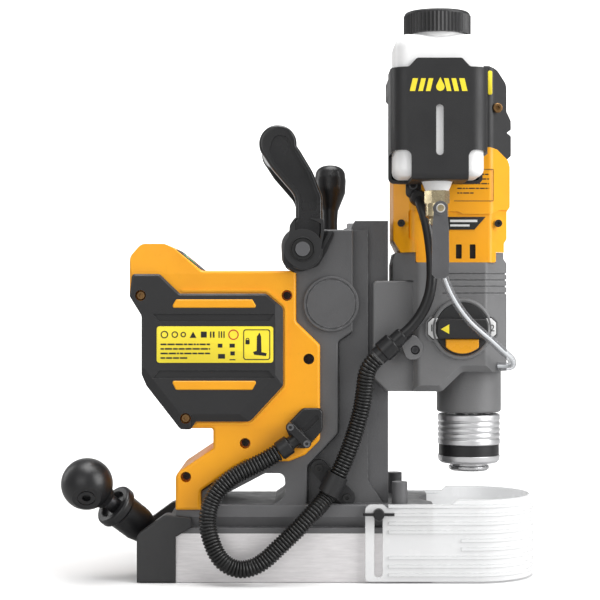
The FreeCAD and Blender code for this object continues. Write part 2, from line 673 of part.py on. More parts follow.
GEARBOX_PLAN = [(72.5, -26, 3), (92, -44, 5), (144, -44, 4), (162, -27, 4),
                (162, 27, 4), (144, 44, 4), (92, 44, 5), (72.5, 26, 3)]
GEARBOX_SIDE = [(72.5, 233.2), (88, 233.2), (88, 147), (110, 147, 6), (126, 162.5, 6), (162.2, 162.5),
                (162.2, 246), (159, 250, 2), (159, 254.8), (152.2, 254.8), (152.2, 247), (89.3, 247),
                (89.3, 254.8), (74.5, 254.8), (72.5, 246)]
KNOB_X, KNOB_Z = 125.0, 195.6
KNOB_R = 20.4
KNOB_RING_R = 23.6



def carriage():
    outline = [(CARRIAGE_X0, CARRIAGE_Z1, 4), (CARRIAGE_X0, 157), (67, CARRIAGE_Z0), (CARRIAGE_X1, CARRIAGE_Z0),
               (CARRIAGE_X1, CARRIAGE_Z1)]
    body = plate_xz(outline, -CARRIAGE_HALF, CARRIAGE_HALF)
    for y in (-CARRIAGE_HALF, CARRIAGE_HALF):
        body = soften(body, "Y", y, 2, lambda e: e.BoundBox.XMax < CARRIAGE_X1 - 1)
    pocket = box(50, RAIL_X1 + 0.15, -RAIL_HALF - 0.15, RAIL_HALF + 0.15, 140, 240)
    return body.cut(pocket)


def gib_strips():
    strip = box(RAIL_X1 - 4.6, RAIL_X1 + 0.15, -KEY_Y1 + 0.1, -KEY_Y0 - 0.1, 158, 228)
    return both_sides(strip)


def rack():
    """Toothed bar in the rail's slot, with a web that reaches forward to the slide."""
    pitch = math.pi * FEED_MODULE
    line = PINION_X + PINION_R
    tip, root = line - ADDENDUM * FEED_MODULE, line + DEDENDUM * FEED_MODULE
    half = pitch / 4 - THINNING * FEED_MODULE
    flare = math.tan(PRESSURE)
    z0, z1 = 158.0, 279.0
    points = [(45, z0), (root, z0)]
    count = int((z1 - z0) / pitch) + 1
    first = round((z0 - PINION_Z) / pitch) + 0.5
    for k in range(count):
        centre = PINION_Z + (first + k) * pitch
        if centre - half - 1.2 < z0 or centre + half + 1.2 > z1:
            continue
        points += [(root, centre - half - (root - line) * flare), (tip, centre - half + (line - tip) * flare),
                   (tip, centre + half - (line - tip) * flare), (root, centre + half + (root - line) * flare)]
    points += [(root, z1), (45, z1)]
    bar = plate_xz(points, -8, 8)
    web = box(44.9, RAIL_X1 + 0.15, -8, 8, 160, 226)
    return fuse(bar, web)


GLAND_LUG = [(78, 183, 2), (82.5, 171.5, 5), (94, 172.5, 7), (95.5, 184, 7), (88, 192, 3)]
GLAND_LUG_HOLE = (89.0, 179.4)


def on_lower_edge(edge):
    """True for the stepped lower edges of the gearbox's flank."""
    place = edge.BoundBox
    return place.ZMax < 170 and place.ZMin > 146.5 and place.XMin > 88.1


def selector_seat():
    """Ring round the gear selector, with a flat tab on each side."""
    profile = [(KNOB_R + 0.3, 0), (KNOB_RING_R + 0.6, 0), (KNOB_RING_R, 2.9, 0.6),
               (KNOB_RING_R - 1.2, 3.5, 0.5), (KNOB_R + 1.2, 3.5, 0.4), (KNOB_R + 0.3, 2.9)]
    seat = turned(profile, V(KNOB_X, -43.4, KNOB_Z), Y * -1)
    pad = [(17, -9.4), (24.4, -9.4), (28, -5), (28, 5), (24.4, 9.4), (17, 9.4)]
    tabs = [plate_xz([(KNOB_X + s * u, KNOB_Z + w) for u, w in pad], -46.4, -43) for s in (-1, 1)]
    hole = rod(V(KNOB_X, -60, KNOB_Z), Y, KNOB_R + 0.3, 30)
    return seat.fuse([t.cut(hole) for t in tabs])


def gearbox_housing():
    side = plate_xz(GEARBOX_SIDE, -GEARBOX_HALF, GEARBOX_HALF)
    for y in (-GEARBOX_HALF, GEARBOX_HALF):
        side = bevel(side, "Y", y, 5, on_lower_edge)
    body = plate_xy(GEARBOX_PLAN, 140, GEARBOX_TOP + 8).common(side)
    barrel = turned([(0, BARREL_Z0), (BARREL_R, BARREL_Z0, 2), (BARREL_R, 168), (0, 168)], V(SPINDLE_X, 0, 0))
    lug = bevel(plate_xz(GLAND_LUG, -GEARBOX_HALF - 1.6, -GEARBOX_HALF + 3), "Y", -GEARBOX_HALF - 1.6, 0.6)
    body = fuse(body, barrel, lug)
    for z in (238.4, 233.5, 228.6, 223.3):
        band = plate_xy(GEARBOX_PLAN, z - 0.6, z + 0.6).cut(inset_plan(GEARBOX_PLAN, 1.2, z - 1, z + 1))
        body = body.cut(band.common(box(110, 200, -60, 60, z - 2, z + 2)))
    body = fuse(body, selector_seat())
    chamber = inset_plan(GEARBOX_PLAN, 5, 176, GEARBOX_TOP + 1).common(box(93, 200, -60, 60, 170, 260))
    bearing_bore = rod(V(SPINDLE_X, 0, BARREL_Z0 - 1), Z, 17, 60)
    idler_seat = rod(V(IDLER_X, IDLER_Y, 168), Z, 4 + RUNNING, 10)
    knob_stem = rod(V(KNOB_X, -60, KNOB_Z), Y, 4 + RUNNING, 30)
    lug_hole = rod(V(GLAND_LUG_HOLE[0], -60, GLAND_LUG_HOLE[1]), Y, 3.6, 60 - GEARBOX_HALF + 2)
    return body.cut(group([chamber, bearing_bore, idler_seat, knob_stem, lug_hole]))


def inset_plan(plan, inset, z0, z1):
    face = Part.Face(rounded_wire(plan, lambda p: V(p.x, p.y, z0)))
    return face.makeOffset2D(-inset).extrude(Z * (z1 - z0))


def bearings():
    """Spindle bearings in the barrel, and the motor's two bearings."""
    spindle = [ring(V(SPINDLE_X, 0, z), Z, 10 + RUNNING, 17, 12) for z in (133, 160)]
    motor = [ring(V(MOTOR_X, 0, z), Z, 4 + RUNNING, 8, 5) for z in (238, 350)]
    return group(spindle + motor)


def gear_cover():
    plate = inset_plan(GEARBOX_PLAN, 5.1, 237, 244).common(box(93.2, 200, -60, 60, 170, 260))
    bores = [rod(V(MOTOR_X, 0, 230), Z, 8, 20), rod(V(IDLER_X, IDLER_Y, 230), Z, 4 + RUNNING, 20)]
    return plate.cut(group(bores))


# Idler shaft: the same centre distance from the motor and from the spindle
GEAR_CENTRES = GEAR_MODULE * (SMALL_TEETH + LARGE_TEETH) / 2
IDLER_X = (SPINDLE_X + MOTOR_X) / 2
IDLER_Y = math.sqrt(GEAR_CENTRES ** 2 - ((SPINDLE_X - MOTOR_X) / 2) ** 2)
TO_IDLER_FROM_MOTOR = math.atan2(IDLER_Y, IDLER_X - MOTOR_X)
TO_IDLER_FROM_SPINDLE = math.atan2(IDLER_Y, IDLER_X - SPINDLE_X)


def idler_gear():
    large = gear_z(LARGE_TEETH, GEAR_MODULE, TO_IDLER_FROM_MOTOR + math.pi + math.pi / LARGE_TEETH,
                   IDLER_X, IDLER_Y, 208, 214)
    small = gear_z(SMALL_TEETH, GEAR_MODULE, TO_IDLER_FROM_SPINDLE + math.pi, IDLER_X, IDLER_Y, 180, 192)
    return fuse(rod(V(IDLER_X, IDLER_Y, 170), Z, 4, 72), large, small)


def spindle():
    """Spindle and the chuck's inner body with the Weldon bore."""
    profile = [(0, CHUCK_Z0), (14.4, CHUCK_Z0, 0.8), (16.2, CHUCK_Z0 + 1.6, 0.5), (16.2, 85.6, 0.5),
               (14.8, 86.4), (14.8, 90.6), (18.8, 90.6), (18.8, 126), (10, 126), (10, 196, 0.8), (0, 196)]
    body = turned(profile, V(SPINDLE_X, 0, 0))
    socket = rod(V(SPINDLE_X, 0, CHUCK_Z0 - 1), Z, SHANK_R, SHANK_DEPTH + 1)
    pilot = rod(V(SPINDLE_X, 0, 100), Z, 4, 50)
    grub = rod(V(SPINDLE_X, 0, 96), X, 3, 30)
    return body.cut(group([socket, pilot, grub]))


def spindle_gear():
    phase = TO_IDLER_FROM_SPINDLE + math.pi / LARGE_TEETH
    gear = gear_z(LARGE_TEETH, GEAR_MODULE, phase, SPINDLE_X, 0, 182, 190)
    return gear.cut(rod(V(SPINDLE_X, 0, 180), Z, 10, 20))


def chuck_sleeve():
    """Sleeve with a plain lower band, a recessed middle band and four rounded waves above."""
    outer = [(22.2, 88.6), (24.2, 90.4, 1.5), (24.8, 94.4, 0.4), (24.0, 94.7), (24.0, 103.2),
             (24.8, 103.6, 0.8)]
    for z in (108.4, 112.8, 117.2, 121.6):
        outer += [(24.8, z - 1.3, 1.5), (24.0, z, 0.25), (24.8, z + 1.3, 1.5)]
    profile = [(18.84, 88.6)] + outer + [(24.8, 127.4, 1.6), (18.84, 127.6)]
    return turned(profile, V(SPINDLE_X, 0, 0))


# --- drill unit: motor ------------------------------------------------------------------

MOTOR_PLAN = [(73, -28, 5), (86, -45, 6), (148, -45, 6), (164.5, -28, 6),
              (164.5, 28, 6), (148, 45, 6), (86, 45, 6), (73, 28, 5)]
MOTOR_SIDE = [(73, 310), (73, 265, 2), (78.5, 255), (89.5, 255), (89.5, 247.1, 1.5), (152, 247.1, 1.5),
              (152, 255), (159.2, 255), (159.2, 262, 1), (161.6, 265.5, 1), (161.6, 287), (164.5, 291), (164.5, 322, 3),
              (162.5, 327), (153, 334.5), (147, MOTOR_SPLIT_Z), (73, MOTOR_SPLIT_Z)]
CAP_Z = MOTOR_SPLIT_Z + 0.1
CAP_SIDE = [(72, CAP_Z), (147, CAP_Z), (153, 334.6), (161.8, 327.6, 1), (165.4, 331, 1),
            (165.4, 346, 1), (161.2, 348.7), (165.4, 351.5, 1), (165.2, 358, 1), (161.2, 365, 2),
            (161.2, 386, 9), (153, 396, 8), (146, 399.2, 4), (82, 399.2, 5), (69.8, 395, 4), (69.8, 380, 1.5), (72, 378)]
CAP_PLAN = [(69.8, -28, 5), (84, -45, 7), (148, -45, 7), (165.5, -27, 6),
            (165.5, 27, 6), (148, 45, 7), (84, 45, 7), (69.8, 28, 5)]
MOTOR_SCREWS = [(78.3, 277.5), (153.5, 277.3)]
MOTOR_VENTS = [(122.8, 255.5), (133.5, 255.5)]
CAP_SCREWS = [(152.8, 366.5)]
LOWER_FACE = [(84, 289, 1.5), (88, 286.5), (122, 286.5), (126, 284.6), (147, 284.6), (155, 288), (170, 288),
              (170, 240), (90, 240), (90, 262), (84, 266, 1.5)]


def motor_body():
    body = plate_xy(MOTOR_PLAN, 240, 340).common(plate_xz(MOTOR_SIDE, -60, 60))
    hollow = inset_plan(MOTOR_PLAN, 3.5, 240, 360).common(box(78, 160, -60, 60, 250, 345))
    body = body.cut(hollow).cut(rod(V(MOTOR_X, 0, 240), Z, 10, 20))
    for x, z in MOTOR_VENTS:
        for s in (-1, 1):
            vent = rectangle(x - 2.3, x + 2.3, z - 5.6, z + 5.6, 0.8)
            body = body.cut(plate_xz(vent, s * 46 - 5, s * 46 + 5))
    shelf = plate_xy(MOTOR_PLAN, 240, 300).cut(inset_plan(MOTOR_PLAN, 1.3, 230, 310))
    body = body.cut(shelf.common(plate_xz(LOWER_FACE, -60, 0)))
    bosses = [rod(V(x, -MOTOR_HALF + 1, z), Y, 5.5, 14) for x, z in MOTOR_SCREWS]
    body = fuse(body, group(bosses).common(inset_plan(MOTOR_PLAN, 1, 248, 335)))
    for x, z in MOTOR_SCREWS:
        body = body.cut(rod(V(x, -60, z), Y, WELL_R, 18.5))
    return body.cut(motor_screws())


def motor_housing_left():
    return motor_body().common(box(0, 200, -60, 0, 0, 400))


def motor_housing_right():
    return motor_body().common(box(0, 200, 0, 60, 0, 400))


def motor_cap():
    side = plate_xz(CAP_SIDE, -MOTOR_HALF, MOTOR_HALF)
    for y in (-MOTOR_HALF, MOTOR_HALF):
        side = soften(side, "Y", y, 2, lambda e: e.BoundBox.ZMin > 387 and e.BoundBox.XMin > 75)
    body = plate_xy(CAP_PLAN, 320, 410).common(side)
    hollow = inset_plan(CAP_PLAN, 3.5, 320, 399).common(box(76, 160, -60, 60, 320, 400))
    body = body.cut(hollow)
    seat = ring(V(MOTOR_X, 0, 348), Z, 8, 12, 51.5)
    for x, z in CAP_SCREWS:
        body = body.cut(rod(V(x, -60, z), Y, 4.4, 17.5))
    vents = [box(100, 170, 39, 51, z - 1.2, z + 1.2) for z in (342, 347)]
    vents += [box(150, 175, y - 4, y + 4, z - 1.2, z + 1.2) for y in (-18, -6, 6, 18) for z in (341, 346)]
    body = body.cut(group(vents))
    return fuse(body, seat)


def motor_screws():
    return group([socket_screw(V(x, -41.5, z), Y * -1, 2.9, 2.2, 1.5, 6) for x, z in MOTOR_SCREWS])


def motor_stator():
    body = ring(V(MOTOR_X, 0, 264), Z, 22, 37, 52)
    slot = box(MOTOR_X + 21, MOTOR_X + 31, -3, 3, 263, 317)
    slots = [slot.copy().rotate(V(MOTOR_X, 0, 0), Z, 30 * k) for k in range(12)]
    return body.cut(group(slots))


def motor_rotor():
    shaft = rod(V(MOTOR_X, 0, 204), Z, 4, 149)
    core = rod(V(MOTOR_X, 0, 266), Z, 21.2, 48)
    disc = rod(V(MOTOR_X, 0, 261), Z, 33, 2)
    blades = []
    for k in range(12):
        blade = box(MOTOR_X + 16, MOTOR_X + 32, -0.8, 0.8, 256, 261)
        blades.append(blade.rotate(V(MOTOR_X, 0, 0), Z, 30 * k))
    teeth = gear_z(SMALL_TEETH, GEAR_MODULE, TO_IDLER_FROM_MOTOR, MOTOR_X, 0, 206, 216)
    return fuse(shaft, core, disc, teeth, *blades)


# --- gear selector ----------------------------------------------------------------------

def gear_knob():
    disc = turned([(0, 0), (KNOB_R, 0), (KNOB_R, 2.4, 0.6), (0, 2.4)], V(KNOB_X, -44.2, KNOB_Z), Y * -1)
    bar = plate_xz(rectangle(KNOB_X - 25, KNOB_X + 25, KNOB_Z - 7.4, KNOB_Z + 7.8), -53, -46)
    bar = bar.common(rod(V(KNOB_X, -60, KNOB_Z), Y, KNOB_R - 0.5, 30))
    bar = soften(bar, "Y", -53, 1.2)
    stem = rod(V(KNOB_X, -45, KNOB_Z), Y, 4, 13)
    window = button_outline(0.2, -60, -44.9)
    return fuse(disc, bar, stem).cut(window)


def button_outline(gap, y0, y1):
    half, top = 12.7 + gap, KNOB_Z - 7.7 + gap
    sector = plate_xz([(KNOB_X - half, top), (KNOB_X + half, top), (KNOB_X + half, KNOB_Z - 22),
                       (KNOB_X - half, KNOB_Z - 22)], y0, y1)
    return sector.common(rod(V(KNOB_X, y0, KNOB_Z), Y, 18.9 + gap, y1 - y0))


def gear_button():
    return soften(button_outline(0, -50, -46.2), "Y", -50, 0.9)


# --- coolant supply ---------------------------------------------------------------------

def bottle_plan(grow):
    x, y = BOTTLE_HALF_X + grow, BOTTLE_HALF_Y + grow
    return rectangle(BOTTLE_X - x, BOTTLE_X + x, BOTTLE_Y - y, BOTTLE_Y + y, 10 + grow)


def coolant_bottle():
    body = plate_xy(bottle_plan(0), 309, 415)
    body = soften(body, "Z", 415, 9.9)
    body = soften(body, "Z", 309, 6)
    neck = rod(V(BOTTLE_X, BOTTLE_Y, 413), Z, 21.5, CAP_Z1 - 415.5)
    funnel = turned([(0, 300), (8.8, 300), (12.5, 309.2), (0, 309.2)], V(BOTTLE_X, BOTTLE_Y, 0))
    inside = plate_xy(bottle_plan(-1.6), 311, 413.2)
    inside = soften(soften(inside, "Z", 413.2, 8.2), "Z", 311, 5)
    mouth = rod(V(BOTTLE_X, BOTTLE_Y, 410), Z, 19.5, 30)
    drain = rod(V(BOTTLE_X, BOTTLE_Y, 299), Z, 4, 20)
    return fuse(body, neck, funnel).cut(fuse(inside, mouth, drain))


def bottle_cap():
    """Cap with a fluted skirt."""
    outer, depth, flutes = 25.2, 0.7, 54
    step = math.pi / flutes
    radii = [(outer, 2 * k * step) for k in range(flutes)]
    radii += [(outer - depth, (2 * k + 1) * step) for k in range(flutes)]
    radii.sort(key=lambda p: p[1])
    outline = [(BOTTLE_X + r * math.cos(a), BOTTLE_Y + r * math.sin(a)) for r, a in radii]
    skirt = plate_xy(outline, CAP_Z0, CAP_Z1 - 2.6)
    disc = [(0, CAP_Z1 - 2.7), (24.6, CAP_Z1 - 2.7), (24.6, CAP_Z1, 2.2), (0, CAP_Z1)]
    top = turned(disc, V(BOTTLE_X, BOTTLE_Y, 0))
    inside = rod(V(BOTTLE_X, BOTTLE_Y, 410), Z, 21.5 + RUNNING, CAP_Z1 - 412)
    return fuse(skirt, top).cut(inside)


BRACKET_X0 = BOTTLE_X - BOTTLE_HALF_X - 0.3 - BRACKET_WALL
BRACKET_X1 = BOTTLE_X + BOTTLE_HALF_X + 0.3 + BRACKET_WALL
BRACKET_BACK = -MOTOR_HALF - 0.1


def bottle_bracket():
    """Open-topped carrier: front face with a crest and a sight slot, windows at the lower corners."""
    inner_floor = BRACKET_FLOOR + BRACKET_WALL
    outer = soften(plate_xy(bottle_plan(0.3 + BRACKET_WALL), BRACKET_FLOOR, 396), "Z", BRACKET_FLOOR, 4.5)
    inner = soften(plate_xy(bottle_plan(0.3), inner_floor, 400), "Z", inner_floor, 2)
    x0, x1, shoulder = BRACKET_X0 - 1, BRACKET_X1 + 1, 389.5
    crest = plate_xz([(x0, 300), (x0, shoulder), (80, shoulder, 3), (86, 396, 3), (119, 396, 3),
                      (125, shoulder, 3), (x1, shoulder), (x1, 300)], -140, BOTTLE_Y + 19)
    back = plate_xz([(BRACKET_X0, shoulder), (BRACKET_X0, BRACKET_FLOOR, 9), (BRACKET_X1, BRACKET_FLOOR, 9),
                     (BRACKET_X1, shoulder)], BOTTLE_Y + 19, 0)
    body = outer.cut(inner).common(fuse(crest, back))
    for left, right in ((x0, 82), (124, x1)):
        body = body.cut(plate_xz(rectangle(left, right, 290, 328.5, 5), -140, BOTTLE_Y + 16))
    body = body.cut(slot_xz(102.8, 324.5, 362, 2.8, -140, BOTTLE_Y - 10))
    body = body.cut(rod(V(BOTTLE_X, BOTTLE_Y, 300), Z, 13.2, 12))
    y0 = BOTTLE_Y + BOTTLE_HALF_Y + 1.5
    feet = [box(x - 7, x + 7, y0, BRACKET_BACK, z, z + 16) for x in (84, 120) for z in (346, 372)]
    return fuse(body, *feet)


def valve_body():
    """Brass tap below the bottle, with the lever's stem towards -Y."""
    nut = hex_bar(V(BOTTLE_X, BOTTLE_Y, 290.5), Z, 9.4, 9.4)
    axis = V(BOTTLE_X, BOTTLE_Y, 0)
    body = turned([(0, 275), (6.4, 275), (6.4, 279), (8.6, 281, 1), (8.6, 290.6), (0, 290.6)], axis)
    barb = turned([(0, 266), (2.4, 266), (3.2, 269), (2.6, 270), (3.2, 273), (4.4, 275.1), (0, 275.1)], axis)
    stem = rod(V(BOTTLE_X + 1, BOTTLE_Y, VALVE_Z), Y * -1, 2.5, 22)
    body = fuse(nut, body, barb, stem)
    return body.cut(rod(V(BOTTLE_X, BOTTLE_Y, 260), Z, 1.6, 60))


def valve_lever():
    x = BOTTLE_X + 1
    eye = rod(V(x, -98, VALVE_Z), Y, 5.4, 4)
    right = [(4.5, VALVE_Z), (6.2, 272, 2), (6.4, 237, 1), (3.5, 234, 1)]
    outline = [(x + u, *rest) for u, *rest in right] + [(x - u, *rest) for u, *rest in reversed(right)]
    blade = plate_xz(outline, -98, -95)
    lever = fuse(eye, blade)
    return lever.cut(rod(V(x, -110, VALVE_Z), Y, 2.5 + RUNNING, 30))


def coolant_tube():
    """Clear hose from the tap, round in front of the gear selector to a port on the gearbox."""
    path = [V(BOTTLE_X, BOTTLE_Y, 265.2), V(104, -79, 252), V(108.5, -77, 236), V(118, -74, 215),
            V(133, -68, 196.5), V(148, -60, 185.5), V(160, -51, 174.5), V(164.5, -44, 168), V(160, -38, 165.6),
            V(154, -35.0, 166.5)]
    return pipe(path, 2.6).cut(pipe(path, 1.6)).cut(gearbox_housing())


CLIP_SCREWS = [(14.8, 87.5), (36.5, 64.5)]
CLIP_CENTRE = V(25.6, -47, 76)
CLIP_ALONG = V(0.45, 0, 0.89).normalize()
SOCKET_SEAT = (4.0, -52.0, 119.0)


GLAND_SEAT = V(79, -53, 192)
GLAND_ALONG = V(-0.74, 0.0, -0.67).normalize()


def motor_cable():
    """Lead from the motor housing to the gland beside the gearbox."""
    path = [V(91, -46.2, 297), V(93, -51.5, 291), V(96.5, -55, 279), V(99.5, -55.5, 262), V(101, -56, 240),
            V(99, -56, 222), V(91, -54.5, 204.5), V(78, -53, 191)]
    lead = pipe(path, 4.2).cut(box(60, 120, -MOTOR_HALF - 0.1, 0, 280, 320))
    nut = [(0, 0), (6, 0, 1), (6, 9), (8.6, 10, 1), (8.6, 21, 1), (7.4, 22), (7.4, 26), (0, 26)]
    gland = turned(nut, GLAND_SEAT, GLAND_ALONG)
    boot = turned([(0, 0), (7, 0, 1), (5.5, 6, 1), (0, 6)], V(91, -45.2, 297), Y * -1)
    strap = plate_xz([(71, 187, 2), (76, 180, 2), (87, 191, 2), (82, 198, 2)], -50, -GEARBOX_HALF - 0.2)
    return fuse(lead, gland, boot, strap).cut(gearbox_housing())


def conduit_lower():
    """Fixed loop of corrugated conduit, from the housing's outlet to the clip on the stand."""
    path = [V(-16.6, -57.1, 101.6), V(-27, -57.5, 95.5), V(-41, -58, 88.5), V(-55, -58.5, 80), V(-66, -59, 67),
            V(-70.5, -59.5, 50), V(-67, -60, 32), V(-57, -60, 18), V(-42, -60, 10.5), V(-26, -60, 12.5),
            V(-10, -59.5, 23.5), V(3.5, -57.8, 39), V(13.5, -54, 54.5), CLIP_CENTRE - CLIP_ALONG * 8,
            CLIP_CENTRE - CLIP_ALONG * 4, CLIP_CENTRE - CLIP_ALONG * 0.4]
    return pipe(path, 6.2)


def conduit_upper():
    """Free run of conduit, from the clip to the gland on the drill unit."""
    path = [CLIP_CENTRE + CLIP_ALONG * 0.4, CLIP_CENTRE + CLIP_ALONG * 4, CLIP_CENTRE + CLIP_ALONG * 8,
            V(35.5, -46.5, 97), V(43, -46.5, 118), V(48, -48, 138), V(50, -50.5, 153), V(53, -52.7, 166),
            V(58.8, -53, 173.4)]
    return pipe(path, 6.2)


def conduit_clip():
    """Saddle that holds the conduit to the stand, with an ear at each end."""
    saddle = ring(CLIP_CENTRE - CLIP_ALONG * 8, CLIP_ALONG, 6.4, 8.6, 16)
    across = V(CLIP_SCREWS[1][0] - CLIP_SCREWS[0][0], 0, CLIP_SCREWS[1][1] - CLIP_SCREWS[0][1]).normalize()
    ears = [rod(V(x, -39, z), Y, 6.4, 6) for x, z in CLIP_SCREWS]
    length = math.dist(*CLIP_SCREWS)
    bridge = Part.makeBox(length, 12.8, 6.0)
    bridge.Placement = FreeCAD.Placement(
        V(CLIP_SCREWS[0][0], -39, CLIP_SCREWS[0][1]) - across.cross(Y) * -6.4,
        FreeCAD.Rotation(across, across.cross(Y) * -1, Y, "XYZ"))
    body = fuse(saddle, bridge, *ears)
    body = body.cut(rod(CLIP_CENTRE - CLIP_ALONG * 30, CLIP_ALONG, 6.4, 60))
    body = body.cut(conduit_lower()).cut(conduit_upper()).cut(box(0, 60, -60, 0, 50, BASE_TOP))
    return body.cut(clip_screws()).cut(box(-100, 100, -FRAME_HALF, 0, 0, 300))


CLAMP_ENDS = [(-7.3, 121.1), (5.1, 108.6)]


def between(start, end, half, y0, y1, radius):
    """Flat bar between two (x, z) points, half wide on each side."""
    along = V(end[0] - start[0], 0, end[1] - start[1]).normalize()
    side = V(-along.z, 0, along.x)
    tips = [V(start[0], 0, start[1]) - along * half, V(end[0], 0, end[1]) + along * half]
    corners = [tips[0] - side * half, tips[1] - side * half, tips[1] + side * half, tips[0] + side * half]
    return plate_xz([(c.x, c.z, radius) for c in corners], y0, y1)


def cable_outlet():
    """Moulded cable outlet on the housing's side, with its clamp bar and ferrule."""
    outline = [(-11.5, 121, 4), (2, 135, 5), (17.4, 135, 4), (17.4, 118, 5), (5, 104, 5), (-5, 104.5, 3)]
    body = soften(plate_xz(outline, -54.5, -HOUSING_HALF), "Y", -54.5, 1.6)
    body = body.cut(between((4.5, 119.5), (12.5, 127.5), 2.2, -60, -53, 1.5))
    along = V(-0.81, -0.05, -0.58).normalize()
    profile = [(0, 0), (5.2, 0), (5.2, 13, 0.5), (7.6, 14, 0.8), (7.6, 23, 0.8), (6.4, 24), (0, 24)]
    nose = turned(profile, V(3.2, -55.9, 115.8), along)
    bar = between(*CLAMP_ENDS, 3.4, -63.2, -54, 3.2)
    bar = soften(bar, "Y", -63.2, 1)
    heads = [rod(V(x, -64.0, z), Y, 2.2, 2) for x, z in CLAMP_ENDS]
    return fuse(body, nose, bar, *heads)


# --- chip guard -------------------------------------------------------------------------

def guard_plan(half):
    """Open U in plan: two straight sides and a half-round front."""
    back = [V(GUARD_X0, -half, 0), V(GUARD_X0, half, 0)]
    bend = [V(GUARD_ARC_X, -half, 0), V(GUARD_ARC_X, half, 0)]
    front = Part.Arc(bend[0], V(GUARD_ARC_X + half, 0, 0), bend[1]).toShape()
    sides = [Part.makeLine(back[0], bend[0]), Part.makeLine(bend[1], back[1])]
    return Part.Face(Part.Wire([sides[0], front, sides[1], Part.makeLine(back[1], back[0])]))


def guard_band(z0, z1, out):
    shell = guard_plan(out).cut(guard_plan(GUARD_IN)).extrude(Z * (z1 - z0))
    return shell.translated(Z * z0)


RIB_Z = [5.0 + 6.6 * k for k in range(9)]


def chip_guard():
    """Half-round guard with horizontal ribs, which leave a plain field in the middle of each side."""
    wall = guard_band(1, 64, GUARD_OUT)
    side = plate_xz([(GUARD_X0, 1, 3), (190, 1), (190, 64), (121, 64, 3), (114, 57.5, 3), (68, 57.5, 3),
                     (64, 60.5, 3), (GUARD_X0, 60.5, 5)], -60, 60)
    wall = wall.common(side)
    ribs = []
    for k, z in enumerate(RIB_Z):
        rib = guard_band(z, z + 2.6, GUARD_OUT + 1.2)
        x0 = 124 if k in (3, 4) else 68
        ribs.append(rib.common(box(x0, 200, -60, 60, 0, 70)))
    body = fuse(wall, *ribs)
    slot = slot_xz(GUARD_SCREW_X, 4.3, 56.6, 3.15, -60, -40)
    return body.cut(both_sides(slot))


def guard_screw(side):
    """Wing screw that clamps the guard: shank, washer and two wings."""
    x, z, out = GUARD_SCREW_X, GUARD_SCREW_Z, Y * side
    at = lambda y: V(x, side * y, z)
    shank = rod(at(34), out, 3.0 - RUNNING, 22)
    spacer = rod(at(MAGNET_HALF + 0.1), out, 4.6, GUARD_IN - MAGNET_HALF - 0.2)
    head = turned([(0, 0), (4.4, 0), (4.4, 7, 1), (0, 7)], at(GUARD_OUT + 0.1), out)
    low, high = sorted((side * (GUARD_OUT + 1.6), side * (GUARD_OUT + 6.4)))
    wings = box(x - 12, x + 12, low, high, z - 1.0, z + 1.0)
    upright = [e for e in wings.Edges if max(e.BoundBox.XLength, e.BoundBox.YLength) < 1e-3]
    wings = wings.makeFillet(0.9, upright)
    return fuse(shank, spacer, head, wings)


PIECES = {
    "magnet_block": magnet_block,
    "magnet_rotor": magnet_rotor,
    "base_casting": base_casting,
    "rear_bracket": rear_bracket,
    "lever_rod": lever_rod,
    "lever_knob": lever_knob,
    "lock_collar": lock_collar,
    "stand_frame": stand_frame,
    "guide_rail": guide_rail,
    "pinion_cover": pinion_cover,
    "pinion_bushes": pinion_bushes,
    "stand_screws": stand_screws,
    "rear_housing_left": rear_housing_left,
    "rear_housing_right": rear_housing_right,
    "side_covers": side_covers,
    "control_panel": control_panel,
    "start_button": lambda: push_button(-15),
    "stop_button": lambda: push_button(15),
    "control_board": control_board,
    "battery_pack": battery_pack,
    "battery_release": battery_release,
    "battery_dock": battery_dock,
    "carry_handle": carry_handle,
    "handle_bracket": handle_bracket,
    "pinion_shaft": pinion_shaft,
    "feed_hub": feed_hub,
    "feed_spokes": feed_spokes,
    "feed_grips": feed_grips,
    "carriage": carriage,
    "gib_strips": gib_strips,
    "rack": rack,
    "gearbox_housing": gearbox_housing,
    "gear_cover": gear_cover,
    "bearings": bearings,
    "idler_gear": idler_gear,
    "spindle": spindle,
    "spindle_gear": spindle_gear,
    "chuck_sleeve": chuck_sleeve,
    "motor_housing_left": motor_housing_left,
    "motor_housing_right": motor_housing_right,
    "motor_cap": motor_cap,
    "motor_screws": motor_screws,
    "motor_stator": motor_stator,
    "motor_rotor": motor_rotor,
    "gear_knob": gear_knob,
    "gear_button": gear_button,
    "coolant_bottle": coolant_bottle,
    "bottle_cap": bottle_cap,
    "bottle_bracket": bottle_bracket,
    "valve_body": valve_body,
    "valve_lever": valve_lever,
    "coolant_tube": coolant_tube,
    "motor_cable": motor_cable,
    "conduit_lower": conduit_lower,
    "conduit_upper": conduit_upper,
    "conduit_clip": conduit_clip,
    "cable_outlet": cable_outlet,
    "chip_guard": chip_guard,
    "guard_screw_left": lambda: guard_screw(-1),
    "guard_screw_right": lambda: guard_screw(1),
}

os.makedirs("parts", exist_ok=True)
for name, make in PIECES.items():
    make().exportStep("parts/" + name + ".step")
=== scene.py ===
"""Looks for the magnetic drill press, in metres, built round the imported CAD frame."""

